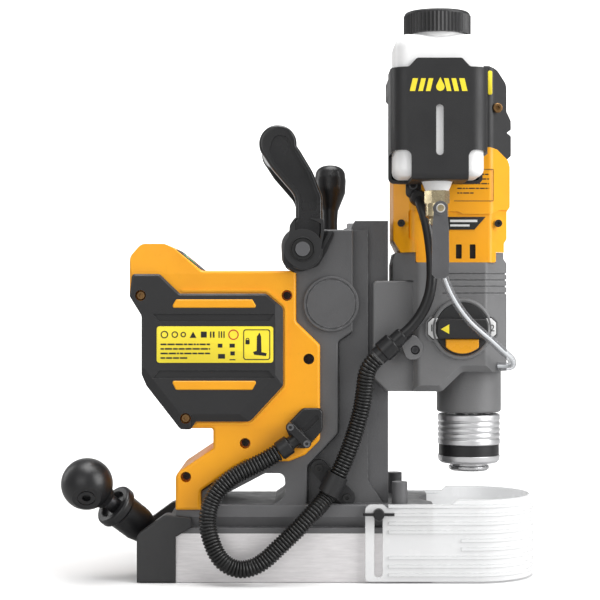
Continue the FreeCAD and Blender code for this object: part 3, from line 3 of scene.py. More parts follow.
import bmesh
import bpy
import json
import math
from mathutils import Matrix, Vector


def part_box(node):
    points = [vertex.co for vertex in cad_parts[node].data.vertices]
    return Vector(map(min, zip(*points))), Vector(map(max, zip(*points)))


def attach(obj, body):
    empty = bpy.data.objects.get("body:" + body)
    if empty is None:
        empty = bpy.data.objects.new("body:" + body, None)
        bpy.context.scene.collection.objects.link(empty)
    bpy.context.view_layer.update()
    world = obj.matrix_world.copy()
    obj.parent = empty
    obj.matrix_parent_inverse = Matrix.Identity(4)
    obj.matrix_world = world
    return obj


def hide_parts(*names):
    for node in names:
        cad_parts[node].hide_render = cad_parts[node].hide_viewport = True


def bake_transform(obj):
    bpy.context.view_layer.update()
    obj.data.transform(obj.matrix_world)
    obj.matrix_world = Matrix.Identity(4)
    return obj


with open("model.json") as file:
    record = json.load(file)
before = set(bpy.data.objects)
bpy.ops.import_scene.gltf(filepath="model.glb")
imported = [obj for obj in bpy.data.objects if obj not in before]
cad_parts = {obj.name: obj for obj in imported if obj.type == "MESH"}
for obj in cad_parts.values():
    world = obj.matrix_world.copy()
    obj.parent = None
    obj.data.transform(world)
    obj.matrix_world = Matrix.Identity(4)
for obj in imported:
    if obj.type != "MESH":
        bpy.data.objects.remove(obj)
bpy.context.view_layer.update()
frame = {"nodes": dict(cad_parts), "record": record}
NODES = frame["nodes"]
MM = 0.001


# --- shader helpers ---------------------------------------------------------------------

NOISE_MIDDLE = (0.3, 0.7)
EDGE_COSINES = (0.97, 0.86)  # between true and rounded normal: where the edge mask starts, where it is full; it marks wear, painted edge highlights and painted edge shade
PAINT_EDGE_WEAR = (0.42, 0.42, 0.43)
BLACKENED = (0.012, 0.012, 0.013)


class Graph:
    """Small wrapper round a material's node tree."""

    def __init__(self, name):
        self.material = bpy.data.materials.new(name)
        self.material.use_nodes = True
        self.tree = self.material.node_tree
        self.bsdf = self.tree.nodes["Principled BSDF"]
        self.coords = self.tree.nodes.new("ShaderNodeTexCoord").outputs["Object"]

    def link(self, source, target):
        self.tree.links.new(source, target)

    def set(self, node, values):
        for key, value in values.items():
            if hasattr(value, "is_linked"):
                self.link(value, node.inputs[key])
            else:
                node.inputs[key].default_value = value

    def node(self, kind, values=None, **properties):
        made = self.tree.nodes.new("ShaderNode" + kind)
        for key, value in properties.items():
            setattr(made, key, value)
        self.set(made, values or {})
        return made

    def stretched(self, scale):
        """Object coordinates, scaled by a vector."""
        return self.node("Mapping", {"Vector": self.coords, "Scale": scale}).outputs["Vector"]

    def noise(self, scale, detail=4.0, vector=None, roughness=0.5):
        return self.node("TexNoise", {
            "Vector": vector or self.coords, "Scale": scale,
            "Detail": detail, "Roughness": roughness,
        }).outputs["Fac"]

    def between(self, value, low, high, to_low, to_high):
        """Maps low..high to to_low..to_high, clamped."""
        return self.node("MapRange", {
            "Value": value, "From Min": low, "From Max": high,
            "To Min": to_low, "To Max": to_high,
        }).outputs["Result"]

    def spread(self, noise, to_low=0.0, to_high=1.0):
        """Maps the middle of a noise value, where nearly all of it lies, to to_low..to_high."""
        return self.between(noise, *NOISE_MIDDLE, to_low, to_high)

    def maths(self, operation, a, b=0.0):
        made = self.node("Math", operation=operation)
        self.set(made, {0: a, 1: b})
        return made.outputs[0]

    def mix(self, factor, a, b):
        made = self.node("Mix", data_type="RGBA")
        self.set(made, {0: factor, 6: a, 7: b})
        return made.outputs[2]

    def bump(self, height, strength, distance, normal=None):
        values = {"Height": height, "Strength": strength, "Distance": distance}
        if normal:
            values["Normal"] = normal
        return self.node("Bump", values).outputs["Normal"]

    def edge_mask(self, radius):
        """Near 1 on sharp edges, 0 elsewhere."""
        bevel = self.node("Bevel", {"Radius": radius}, samples=4).outputs["Normal"]
        geometry = self.node("NewGeometry").outputs["Normal"]
        product = self.node("VectorMath", operation="DOT_PRODUCT")
        self.set(product, {0: bevel, 1: geometry})
        return self.between(product.outputs["Value"], *EDGE_COSINES, 0.0, 1.0)


def rgba(colour):
    return (*colour, 1.0)


def shade(colour, factor):
    return rgba([min(1.0, c * factor) for c in colour])


def moulded(name, colour, rough=0.45, grain=0.25, scale=1400.0, coat=0.0, edge_highlight_and_wear=1.5, glow=0.0):
    """Moulded plastic: fine skin texture, faint mottling, and lighter edges that are partly wear
    and partly a painted edge highlight.
    """
    g = Graph(name)
    cloud = g.noise(26.0, 3.0)
    dirt = g.noise(240.0, 6.0)
    base = g.mix(g.spread(cloud), shade(colour, 0.93), shade(colour, 1.05))
    base = g.mix(g.between(dirt, 0.60, 0.80, 0.0, 0.12), base, shade(colour, 0.6))
    patchy = g.between(g.noise(420.0, 5.0), 0.35, 0.65, 0.1, 0.55)
    # Edge patches, partly wear and partly a painted highlight on the edges.
    wear = g.maths("MULTIPLY", g.edge_mask(0.0007), patchy)
    base = g.mix(wear, base, shade([c + 0.03 for c in colour], edge_highlight_and_wear))
    skin = g.noise(scale, 2.0)
    g.set(g.bsdf, {
        "Base Color": base,
        "Roughness": g.spread(g.noise(60.0, 4.0), rough - 0.06, rough + 0.06),
        "Normal": g.bump(skin, grain, 0.0002),
        "Coat Weight": coat, "Coat Roughness": 0.12,
        # glow is painted light: an emission that brightens the plastic beyond what its lamps give.
        "Emission Color": base, "Emission Strength": glow,
    })
    return g.material


def cast(name, colour, rough=0.5):
    """Painted casting: orange-peel skin over slight unevenness, thin paint on the edges."""
    g = Graph(name)
    cloud = g.noise(30.0, 5.0)
    base = g.mix(g.spread(cloud), shade(colour, 0.90), shade(colour, 1.08))
    speck = g.noise(900.0, 3.0)
    base = g.mix(g.between(speck, 0.62, 0.75, 0.0, 0.25), base, shade(colour, 1.5))
    patchy = g.between(g.noise(300.0, 6.0), 0.4, 0.65, 0.0, 0.6)
    wear = g.maths("MULTIPLY", g.edge_mask(0.0008), patchy)
    base = g.mix(wear, base, rgba(PAINT_EDGE_WEAR))
    peel = g.bump(g.noise(700.0, 3.0), 0.35, 0.0003)
    g.set(g.bsdf, {
        "Base Color": base, "Metallic": 0.15,
        "Roughness": g.spread(g.noise(120.0, 5.0), rough - 0.08, rough + 0.08),
        "Normal": g.bump(g.noise(45.0, 3.0), 0.12, 0.002, peel),
    })
    return g.material


def ground_steel(name, colour, stretch, rough, depth=0.25, metal=0.92):
    """Ground steel whose grain runs along the axis with the smallest stretch factor."""
    g = Graph(name)
    lines = g.noise(1.0, 6.0, g.stretched(stretch), 0.65)
    fine = g.noise(1.0, 3.0, g.stretched([s * 3.1 for s in stretch]), 0.5)
    base = g.mix(g.spread(lines), shade(colour, 0.86), shade(colour, 1.04))
    stain = g.between(g.noise(38.0, 6.0), 0.55, 0.8, 0.0, 0.25)
    base = g.mix(stain, base, shade(colour, 0.72))
    g.set(g.bsdf, {
        "Base Color": base, "Metallic": metal,
        "Roughness": g.spread(fine, rough - 0.07, rough + 0.12),
        "Normal": g.bump(lines, depth, 0.0002),
    })
    return g.material


def turned_steel(name, colour, rough, bands=(), smudge=0.3):
    """Metal turned about an upright axis; bands lists (low z, high z) that are blackened."""
    g = Graph(name)
    rings = g.noise(1.0, 4.0, g.stretched((8.0, 8.0, 5200.0)), 0.6)
    base = g.mix(g.spread(rings), shade(colour, 0.88), shade(colour, 1.05))
    stain = g.between(g.noise(70.0, 6.0), 0.5, 0.8, 0.0, smudge)
    base = g.mix(stain, base, shade(colour, 0.7))
    metal = 1.0
    height = g.node("SeparateXYZ", {"Vector": g.coords}).outputs["Z"]
    for low, high in bands:
        above, below = g.maths("GREATER_THAN", height, low), g.maths("LESS_THAN", height, high)
        inside = g.maths("MULTIPLY", above, below)
        base = g.mix(inside, base, rgba(BLACKENED))
        metal = g.maths("SUBTRACT", metal, inside)
    g.set(g.bsdf, {
        "Base Color": base, "Metallic": metal,
        "Roughness": g.spread(g.noise(150.0, 5.0), rough - 0.05, rough + 0.1),
        "Normal": g.bump(rings, 0.15, 0.00012),
    })
    return g.material


def clear(name, tint, body, rough, haze, rim, glow):
    """Clear moulding: haze is how milky it is face on; rim is added towards its edges. Its sharp
    edges are darkened as painted shade.
    """
    g = Graph(name)
    out = g.tree.nodes["Material Output"]
    see = g.node("BsdfTransparent", {"Color": rgba(tint)}).outputs[0]
    swirl = g.noise(90.0, 4.0)
    # line marks sharp edges, which are darkened below as painted shade.
    line = g.edge_mask(0.0009)
    g.set(g.bsdf, {
        "Base Color": g.mix(line, rgba(body), shade(body, 0.45)),
        "Roughness": g.spread(swirl, rough - 0.03, rough + 0.08),
        "IOR": 1.5, "Normal": g.bump(g.noise(160.0, 2.0), 0.15, 0.0006),
        # glow is painted light: an emission, dimmer on the edge lines.
        "Emission Color": g.mix(line, rgba(body), shade(body, 0.3)),
        "Emission Strength": glow,
    })
    facing = g.node("LayerWeight", {"Blend": 0.35}).outputs["Facing"]
    factor = g.between(facing, 0.0, 1.0, haze, min(1.0, haze + rim))
    shader = g.node("MixShader", {0: factor, 1: see, 2: g.bsdf.outputs[0]}).outputs[0]
    g.link(shader, out.inputs["Surface"])
    return g.material


YELLOW = (1.0, 0.405, 0.004)
LEMON = (1.0, 0.80, 0.04)
BLACK = (0.017, 0.017, 0.018)
GREY = (0.185, 0.185, 0.188)
DARK_GREY = (0.112, 0.112, 0.115)
CLEAR_TINT = (0.97, 0.98, 0.99)

CHUCK_BLACK_BAND = (0.0946, 0.1033)  # z, in metres

LOOKS = {
    "yellow": moulded("yellow_plastic", YELLOW, 0.40, 0.18, 1600.0, edge_highlight_and_wear=1.7),
    "black": moulded("black_plastic", BLACK, 0.48, 0.35, 1300.0, edge_highlight_and_wear=2.2),
    "gloss": moulded("black_gloss", (0.009, 0.009, 0.010), 0.24, 0.05, 500.0, coat=0.4, edge_highlight_and_wear=1.5),
    "rubber": moulded("black_rubber", (0.009, 0.009, 0.009), 0.36, 0.2, 1500.0, edge_highlight_and_wear=1.8),
    "cast": cast("grey_casting", GREY),
    "stand": cast("grey_stand", DARK_GREY),
    "rail": cast("grey_steel", (0.118, 0.118, 0.122), 0.42),
    "base": cast("grey_base", (0.142, 0.142, 0.146), 0.45),
    "foot": moulded("black_foot", (0.034, 0.034, 0.035), 0.5, 0.3, 1300.0, edge_highlight_and_wear=1.8),
    "magnet": ground_steel("magnet_steel", (0.94, 0.915, 0.92), (60.0, 500.0, 500.0),
                           0.42, 0.35, 0.35),
    "steel": ground_steel("steel", (0.62, 0.62, 0.63), (900.0, 60.0, 900.0), 0.28),
    "dark": ground_steel("dark_steel", (0.10, 0.10, 0.105), (300.0, 300.0, 300.0), 0.38, 0.1),
    "chuck": turned_steel("chuck_steel", (0.84, 0.84, 0.85), 0.34, [CHUCK_BLACK_BAND], 0.08),
    "spindle": turned_steel("spindle_steel", (0.66, 0.66, 0.67), 0.2),
    "brass": turned_steel("brass", (0.78, 0.66, 0.42), 0.25),
    "copper": turned_steel("copper", (0.72, 0.36, 0.20), 0.35),
    "zinc": cast("grey_lever", (0.11, 0.11, 0.115), 0.4),
    "fitting": moulded("black_fitting", (0.011, 0.011, 0.012), 0.34, 0.12, 1100.0, edge_highlight_and_wear=1.8),
    # Brown that stands for shaded yellow: painted shade, used on screw heads in deep holes and on
    # thin panel lines.
    "shade_brown": ground_steel("brown_painted_shade", (0.30, 0.17, 0.07), (300.0, 300.0, 300.0), 0.42, 0.1),
    "lemon": moulded("print_yellow", LEMON, 0.40, 0.05, 800.0, edge_highlight_and_wear=1.0),
    # The white plastic's glow is painted light.
    "white": moulded("white_plastic", (0.97, 0.97, 0.97), 0.38, 0.12, 900.0, edge_highlight_and_wear=0.9,
                     glow=0.03),
    # The clear plastic's glow is painted light.
    "clear": clear("clear_plastic", CLEAR_TINT, (0.93, 0.93, 0.93), 0.22, 0.62, 0.35, 0.10),
    # The hose wall's dark grey, seen towards its edges, is painted shade.
    "hose": clear("clear_hose", CLEAR_TINT, (0.26, 0.26, 0.27), 0.10, 0.12, 1.3, 0.0),
    # The hose core is a painted highlight, and its glow is painted light.
    "hose_highlight": moulded("hose_painted_highlight", (0.92, 0.93, 0.94), 0.25, 0.05, 900.0, edge_highlight_and_wear=1.0, glow=0.1),
    "orange": moulded("orange_plastic", (1.0, 0.42, 0.01), 0.28, 0.05, 700.0, coat=0.3, edge_highlight_and_wear=1.1),
    "green": moulded("green_plastic", (0.03, 0.32, 0.07), 0.3, 0.05, 700.0, coat=0.3),
    "red": moulded("red_plastic", (0.55, 0.02, 0.015), 0.3, 0.05, 700.0, coat=0.3),
    "board": moulded("board", (0.02, 0.14, 0.05), 0.35, 0.1, 900.0),
    "ink": moulded("print_black", (0.010, 0.010, 0.010), 0.5, 0.05, 700.0, edge_highlight_and_wear=1.0),
    "paper": moulded("label_white", (0.80, 0.80, 0.80), 0.4, 0.05, 700.0, edge_highlight_and_wear=1.0),
}
BY_SLOT = {
    "grey_casting": "cast", "grey_steel": "rail", "magnet_steel": "magnet",
    "yellow_plastic": "yellow", "black_plastic": "black", "black_gloss": "gloss",
    "black_rubber": "rubber", "steel": "steel", "chrome": "chuck", "dark_steel": "dark",
    "brass": "brass", "white_plastic": "white", "clear_plastic": "clear", "clear_hose": "hose",
    "orange_plastic": "orange", "green_plastic": "green", "red_plastic": "red",
    "board": "board", "copper": "copper",
}
BY_NODE = {
    "spindle": "spindle", "valve_lever": "zinc", "bearings": "spindle", "motor_cable": "fitting",
    "cable_outlet": "fitting", "guard_screw_left": "fitting", "guard_screw_right": "fitting",
    "stand_frame": "stand", "pinion_cover": "stand", "base_casting": "base",
    "rear_bracket": "foot", "carry_handle": "gloss", "stand_screws": "ink", "motor_screws": "ink",
    "feed_grips": "fitting", "lever_knob": "fitting", "lock_collar": "fitting",
}  # wins over BY_SLOT

for row in frame["record"]["subparts"]:
    node = NODES[row["node"]]
    look = BY_NODE.get(row["node"], BY_SLOT[row["material_slot"]])
    node.data.materials.clear()
    node.data.materials.append(LOOKS[look])


# --- mesh helpers -----------------------------------------------------------------------

RIM_ANGLE = 0.6  # radians; edges sharper than this are bevelled
TUBE_SMOOTH = 60.0  # degrees; keeps the ribs of a conduit soft


def as_object(name, made, look, body, smooth=30.0):
    """Turns a bmesh into a piece that rides on a body, or on none if body is None."""
    bmesh.ops.recalc_face_normals(made, faces=made.faces)
    mesh = bpy.data.meshes.new(name)
    made.to_mesh(mesh)
    made.free()
    piece = bpy.data.objects.new(name, mesh)
    bpy.context.scene.collection.objects.link(piece)
    piece.data.materials.append(LOOKS[look])
    for polygon in mesh.polygons:
        polygon.use_smooth = True
    mesh.set_sharp_from_angle(angle=math.radians(smooth))
    if body:
        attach(piece, body)
    return piece


def prism(made, outline, y0, y1):
    """Adds a closed prism over an outline in the XZ plane (mm)."""
    corners = [made.verts.new((x * MM, y0 * MM, z * MM)) for x, z in outline]
    swept = bmesh.ops.extrude_face_region(made, geom=[made.faces.new(corners)])
    moved = [v for v in swept["geom"] if isinstance(v, bmesh.types.BMVert)]
    bmesh.ops.translate(made, verts=moved, vec=(0, (y1 - y0) * MM, 0))


def plate(name, outline, y0, y1, look, body, bevel):
    """Plate in the XZ plane between y0 and y1 (mm), with edges softened by bevel."""
    made = bmesh.new()
    prism(made, outline, y0, y1)
    bmesh.ops.recalc_face_normals(made, faces=made.faces)
    if bevel:
        rims = [e for e in made.edges if e.calc_face_angle() > RIM_ANGLE]
        bmesh.ops.bevel(made, geom=rims, offset=bevel * MM, segments=2, affect="EDGES",
                        profile=0.5)
    return as_object(name, made, look, body)


def circle(sides):
    return [2 * math.pi * k / sides for k in range(sides)]


def add_loop(made, corners):
    """Adds a loop of vertices at corners (mm)."""
    return [made.verts.new(Vector(corner) * MM) for corner in corners]


def join_loops(made, loops, closed=False):
    """Adds quads between each loop and the next, and from the last to the first if closed."""
    following = loops[1:] + (loops[:1] if closed else [])
    for low, high in zip(loops, following):
        for k in range(len(low)):
            after = (k + 1) % len(low)
            made.faces.new((low[k], low[after], high[after], high[k]))


def rounded(x0, x1, z0, z1, radius, steps=6):
    """Corners of a rounded rectangle."""
    points = []
    left, right, low, high = x0 + radius, x1 - radius, z0 + radius, z1 - radius
    centres = ((right, high), (left, high), (left, low), (right, low))
    for quarter, (cx, cz) in enumerate(centres):
        for k in range(steps + 1):
            a = math.radians(90 * (quarter + k / steps))
            points.append((cx + radius * math.cos(a), cz + radius * math.sin(a)))
    return points


def spline(points, step):
    """Points spaced by step along a natural cubic spline through points (mm)."""
    count = len(points)
    marks = [0.0]
    for a, b in zip(points, points[1:]):
        marks.append(marks[-1] + (Vector(b) - Vector(a)).length)
    curves = []
    for axis in range(3):
        v = [p[axis] for p in points]
        upper, rhs = [0.0], [0.0]
        for i in range(1, count - 1):
            h0, h1 = marks[i] - marks[i - 1], marks[i + 1] - marks[i]
            weight = 2 * (h0 + h1) - h0 * upper[-1]
            right = 6 * ((v[i + 1] - v[i]) / h1 - (v[i] - v[i - 1]) / h0)
            upper.append(h1 / weight)
            rhs.append((right - h0 * rhs[-1]) / weight)
        second = [0.0] * count
        for i in range(count - 2, 0, -1):
            second[i] = rhs[i] - upper[i] * second[i + 1]
        curves.append((v, second))
    result = []
    total = marks[-1]
    samples = max(2, int(total / step) + 1)
    for k in range(samples + 1):
        t = total * k / samples
        i = min(count - 2, max(j for j in range(count - 1) if marks[j] <= t + 1e-9))
        h = marks[i + 1] - marks[i]
        a, b = (marks[i + 1] - t) / h, (t - marks[i]) / h
        result.append(Vector([
            a * v[i] + b * v[i + 1] + ((a ** 3 - a) * m[i] + (b ** 3 - b) * m[i + 1]) * h * h / 6
            for v, m in curves]))
    return result


def tube(name, points, radius_at, look, body, step, sides):
    """Closed round bar along a spline; radius_at(distance) gives its radius in mm."""
    centres = spline(points, step)
    made = bmesh.new()
    rings, travelled = [], 0.0
    normal = Vector((0, 1, 0))
    for i, centre in enumerate(centres):
        ahead = centres[min(i + 1, len(centres) - 1)] - centres[max(i - 1, 0)]
        ahead.normalize()
        normal = (normal - ahead * normal.dot(ahead)).normalized()
        side = ahead.cross(normal)
        if i:
            travelled += (centre - centres[i - 1]).length
        radius = radius_at(travelled)
        rings.append(add_loop(made, [
            centre + (normal * math.cos(a) + side * math.sin(a)) * radius
            for a in circle(sides)]))
    join_loops(made, rings)
    made.faces.new(list(reversed(rings[0])))
    made.faces.new(rings[-1])
    return as_object(name, made, look, body, TUBE_SMOOTH)


# --- conduit and hose -------------------------------------------------------------------

CONDUIT_PITCH = 2.55
CONDUIT_VALLEY, CONDUIT_RIB = 5.6, 1.3  # radius in the valleys, height of the ribs
CONDUIT_SIDES = 30
CONDUIT_STEP = CONDUIT_PITCH / 8
CLIP_POINT = Vector((25.6, -47.0, 76.0))
CLIP_ALONG = Vector((0.45, 0.0, 0.89)).normalized()
CLIP_STEPS = (0.4, 4, 8)  # straight run on each side of the clip
LOWER_PATH = [(-16.6, -57.1, 101.6), (-27, -57.5, 95.5), (-41, -58, 88.5), (-55, -58.5, 80),
              (-66, -59, 67), (-70.5, -59.5, 50), (-67, -60, 32), (-59, -60, 18.5),
              (-46.5, -60, 12.6), (-32, -60, 16), (-16.9, -59.5, 28.4), (-2, -57.8, 42.6),
              (11.5, -54, 56.5)]
UPPER_PATH = [(35.5, -46.5, 97), (43, -46.5, 118), (48, -48, 138), (50, -50.5, 153),
              (53, -52.7, 166), (58.8, -53, 173.4)]
HOSE_PATH = [(103, -79, 269), (103.8, -79.2, 254), (107.6, -78, 238), (116.5, -75, 218),
             (131, -69.5, 199.5), (146, -62, 187), (157.5, -54, 177), (163.5, -47.5, 171),
             (163.5, -42, 167.2), (159.5, -37.5, 166.4), (154, -35.0, 166.5)]
HOSE_RADIUS, HOSE_HIGHLIGHT_RADIUS, HOSE_STEP = 3.1, 1.25, 1.2


def corrugated(travelled):
    """Radius of the ribbed conduit: round ribs with narrow valleys."""
    wave = abs(math.sin(math.pi * travelled / CONDUIT_PITCH))
    return CONDUIT_VALLEY + CONDUIT_RIB * wave ** 0.7


def conduit(name, points, body, node):
    piece = tube(name, points, corrugated, "rubber", body, CONDUIT_STEP, CONDUIT_SIDES)
    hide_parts(node)
    return piece


def conduits():
    """The loop on the stand, and the run from its clip up to the drill unit."""
    below = [CLIP_POINT - CLIP_ALONG * d for d in reversed(CLIP_STEPS)]
    above = [CLIP_POINT + CLIP_ALONG * d for d in CLIP_STEPS]
    lower = [Vector(p) for p in LOWER_PATH] + below
    upper = above + [Vector(p) for p in UPPER_PATH]
    conduit("conduit_loop", lower, "stand", "conduit_lower")
    run = conduit("conduit_run", upper, None, "conduit_upper")
    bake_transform(run)


def hose():
    """Clear hose: a thin wall round a pale core. The core is a painted highlight, and the wall's
    dark grey, seen towards its edges, is painted shade.
    """
    wall = tube("hose_wall", HOSE_PATH, lambda t: HOSE_RADIUS, "hose", "drill_unit",
                HOSE_STEP, 24)
    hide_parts("coolant_tube")
    tube("hose_painted_highlight", HOSE_PATH[1:], lambda t: HOSE_HIGHLIGHT_RADIUS, "hose_highlight", "drill_unit",
         HOSE_STEP, 16)


# --- labels and badges ------------------------------------------------------------------

def bars(name, rows, y, depth, look, body):
    """Flat printed bars facing -Y, as one piece; each row is (x0, x1, z0, z1)."""
    made = bmesh.new()
    for x0, x1, z0, z1 in rows:
        prism(made, ((x0, z0), (x1, z0), (x1, z1), (x0, z1)), y, y - depth)
    return as_object(name, made, look, body)


def band(name, outer, inner, y, depth, look, body):
    """Flat frame facing -Y between two outlines with the same number of corners."""
    made = bmesh.new()
    sections = ((outer, 0), (outer, -depth), (inner, -depth), (inner, 0))
    loops = [add_loop(made, [(x, y + shift, z) for x, z in outline])
             for outline, shift in sections]
    join_loops(made, loops, closed=True)
    return as_object(name, made, look, body)


def hoop(name, x, z, outer, inner, y, depth, look, body, sides=28):
    """Flat ring facing -Y."""
    outlines = [[(x + radius * math.cos(a), z + radius * math.sin(a)) for a in circle(sides)]
                for radius in (outer, inner)]
    return band(name, *outlines, y, depth, look, body)


WORD_GAP = 0.7


def text_lines(x0, x1, z_top, count, spacing, height, start):
    """Rows of bars in place of printed words. Their lengths vary by a fixed sequence."""
    rows = []
    for line in range(count):
        x = x0
        step = start + line * 7
        top = z_top - line * spacing
        while x < x1:
            step = (step * 13 + 5) % 31
            end = min(x + 1.6 + step % 5, x1)
            rows.append((x, end, top - height, top))
            x = end + WORD_GAP
            if line == count - 1 and x > (x0 + x1) / 2:
                break
    return rows


LABEL_Y = -53.0
LABEL_DEPTH = 0.45
PRINT_DEPTH = 0.12
LABEL_OUTLINE = (-110, -20.5, 169.8, 197.8, 2.2)  # x0, x1, z0, z1, corner radius
RING_XS = (-104, -96, -89.5)
RING_SHRINK = 0.4  # each ring is this much smaller than the one before
TRIANGLE = [(-84.6, 189), (-79.4, 189), (-82, 193.8)]
SYMBOL_SQUARES = [(-76, -71.5, 189.2, 193.8), (-69, -67.9, 189.2, 193.8),
                  (-66.9, -65.5, 189.2, 193.8), (-62.5, -61.6, 189, 194),
                  (-60.6, -59.7, 189, 194), (-58.7, -57.8, 189, 194)]
SMALL_MARKS = [(-63, -59.5, 181.5, 184.5), (-54, -50, 181.5, 184.5), (-62.8, -57.5, 173, 176.6),
               (-53.4, -50, 175.5, 178.6), (-54, -49.6, 171.8, 172.6)]
PICTURE_OUTER = (-43.5, -22.8, 172, 195.5, 2.0)
PICTURE_INNER = (-42.8, -23.5, 172.7, 194.8, 1.6)
LOCK_BODY = (-41.8, -38.6, 184, 187.4, 0.6)
PRESS_PICTURE = [(-35, 176), (-26, 175), (-25.5, 177.2), (-29.5, 178), (-29.8, 190), (-31, 193),
                 (-33, 190), (-33.2, 179), (-36, 178.2)]


def rating_label():
    """Plain yellow rating plate with generic symbols, and bars for its small print."""
    face = LABEL_Y - LABEL_DEPTH
    top = face - PRINT_DEPTH
    ink = ("ink", "stand")
    plate("rating_label", rounded(*LABEL_OUTLINE), LABEL_Y + 0.1, face, "lemon", "stand", 0.15)
    for k, x in enumerate(RING_XS):
        outer, inner = 2.9 - RING_SHRINK * k, 2.1 - RING_SHRINK * k
        hoop("symbol_ring_%d" % k, x, 191.5, outer, inner, face, PRINT_DEPTH, *ink)
    plate("symbol_triangle", TRIANGLE, face, top, *ink, 0)
    bars("symbol_squares", SYMBOL_SQUARES, face, PRINT_DEPTH, *ink)
    hoop("symbol_red_ring", -51, 191.4, 4.0, 3.2, face, PRINT_DEPTH, "red", "stand")
    words = text_lines(-107, -69, 184.6, count=4, spacing=3.5, height=1.2, start=3)
    bars("small_print", words, face, PRINT_DEPTH, *ink)
    bars("small_marks", SMALL_MARKS, face, PRINT_DEPTH, *ink)
    band("picture_frame", rounded(*PICTURE_OUTER), rounded(*PICTURE_INNER), face, PRINT_DEPTH,
         *ink)
    plate("picture_lock", rounded(*LOCK_BODY), face, top, *ink, 0)
    hoop("picture_lock_shackle", -40.2, 187.6, 1.4, 0.8, face, PRINT_DEPTH, *ink, sides=18)
    plate("picture_press", PRESS_PICTURE, face, top, *ink, 0)


BADGE = [(92, 282.2), (143.4, 282.2), (134.9, 272.4), (100.5, 272.4)]
BADGE_CHEVRON = [(104, 279.8), (109, 279.8), (113.5, 277.2), (109, 274.6), (104, 274.6),
                 (108, 277.2)]
BADGE_BARS = [(116, 137, 278.2, 280.0), (116, 131, 274.8, 276.4)]
BADGE_Y, BADGE_DEPTH, BADGE_PRINT_DEPTH = -44.0, 0.6, 0.2
STRIPES = [(82.5, 3.9), (88.5, 3.4), (94.0, 3.4), (109.5, 3.4), (115.0, 3.4), (121.0, 3.9)]
STRIPE_Z0, STRIPE_Z1, STRIPE_SLANT = 371.4, 380.8, 2.2
STRIPE_SUNK, STRIPE_PROUD = 0.1, 0.25
DROP_X, DROP_Z, DROP_R, DROP_TIP = 103.0, 374.6, 3.1, 7
DROP_ARC = range(150, 391, 12)  # degrees


def motor_badge():
    """Generic badge: a chevron and two bars."""
    face = BADGE_Y - BADGE_DEPTH
    plate("motor_badge", BADGE, BADGE_Y + 0.2, face, "ink", "drill_unit", 0.2)
    top = face - BADGE_PRINT_DEPTH
    plate("motor_badge_chevron", BADGE_CHEVRON, face, top, "red", "drill_unit", 0)
    bars("motor_badge_bars", BADGE_BARS, face, BADGE_PRINT_DEPTH, "paper", "drill_unit")


def bottle_badge():
    """Slanted stripes on both sides of a droplet, on the front of the bottle bracket."""
    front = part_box("bottle_bracket")[0].y / MM
    back, face = front + STRIPE_SUNK, front - STRIPE_PROUD
    turns = [math.radians(t) for t in DROP_ARC]
    drop = [(DROP_X, DROP_Z + DROP_TIP)]
    drop += [(DROP_X + DROP_R * math.cos(t), DROP_Z + DROP_R * math.sin(t)) for t in turns]
    plate("bottle_badge_drop", drop, back, face, "lemon", "drill_unit", 0)
    for k, (x, wide) in enumerate(STRIPES):
        slant = STRIPE_SLANT if x < DROP_X else -STRIPE_SLANT
        x0, x1 = x - wide / 2, x + wide / 2
        outline = [(x0, STRIPE_Z0), (x1, STRIPE_Z0), (x1 + slant, STRIPE_Z1),
                   (x0 + slant, STRIPE_Z1)]
        plate("bottle_badge_stripe_%d" % k, outline, back, face, "lemon", "drill_unit", 0)


DIAL_X, DIAL_Z = 125.0, 195.6
DIAL_PAD = [(18.6, -7.4), (22.5, -7.4), (26.2, -4), (26.2, 5), (22.5, 8.4), (18.6, 8.4),
            (20.4, 4), (20.4, -3)]
PAD_CENTRE = (22.8, 0.5)
PAD_LAYERS = (("rim", 1.14, -46.5, "ink"), ("face", 1.0, -46.7, "paper"))  # scale, front y
PAD_BACK_Y = -46.2
NUMBER_X, NUMBER_Y, NUMBER_SIZE, NUMBER_DEPTH = 23.4, -46.75, 7.5, 0.08
POINTER = [(-17, 0), (-10.5, 3.7), (-10.5, -3.7)]
POINTER_Y = (-52.9, -53.2)


def dial_number(side, number):
    curve = bpy.data.curves.new("dial_number_" + number, "FONT")
    curve.body, curve.size, curve.extrude = number, NUMBER_SIZE * MM, NUMBER_DEPTH * MM
    curve.align_x, curve.align_y = "CENTER", "CENTER"
    text = bpy.data.objects.new("dial_number_" + number, curve)
    place = (DIAL_X + side * NUMBER_X, NUMBER_Y, DIAL_Z + PAD_CENTRE[1])
    text.location = [value * MM for value in place]
    text.rotation_euler = (math.pi / 2, 0, 0)
    bpy.context.scene.collection.objects.link(text)
    text.data.materials.append(LOOKS["ink"])
    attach(text, "drill_unit")


def dial_prints():
    """White pads with generic numbers on both sides of the dial, and the yellow pointer."""
    cu, cw = PAD_CENTRE
    for side, number in ((-1, "1"), (1, "2")):
        for part, grow, y, look in PAD_LAYERS:
            pad = [(DIAL_X + side * (cu + (u - cu) * grow), DIAL_Z + cw + (w - cw) * grow)
                   for u, w in DIAL_PAD]
            plate("dial_pad_%s_%s" % (part, number), pad, PAD_BACK_Y, y, look, "drill_unit", 0.1)
        dial_number(side, number)
    pointer = [(DIAL_X + u, DIAL_Z + w) for u, w in POINTER]
    plate("dial_pointer", pointer, *POINTER_Y, "lemon", "selector", 0.1)


# --- small parts ------------------------------------------------------------------------

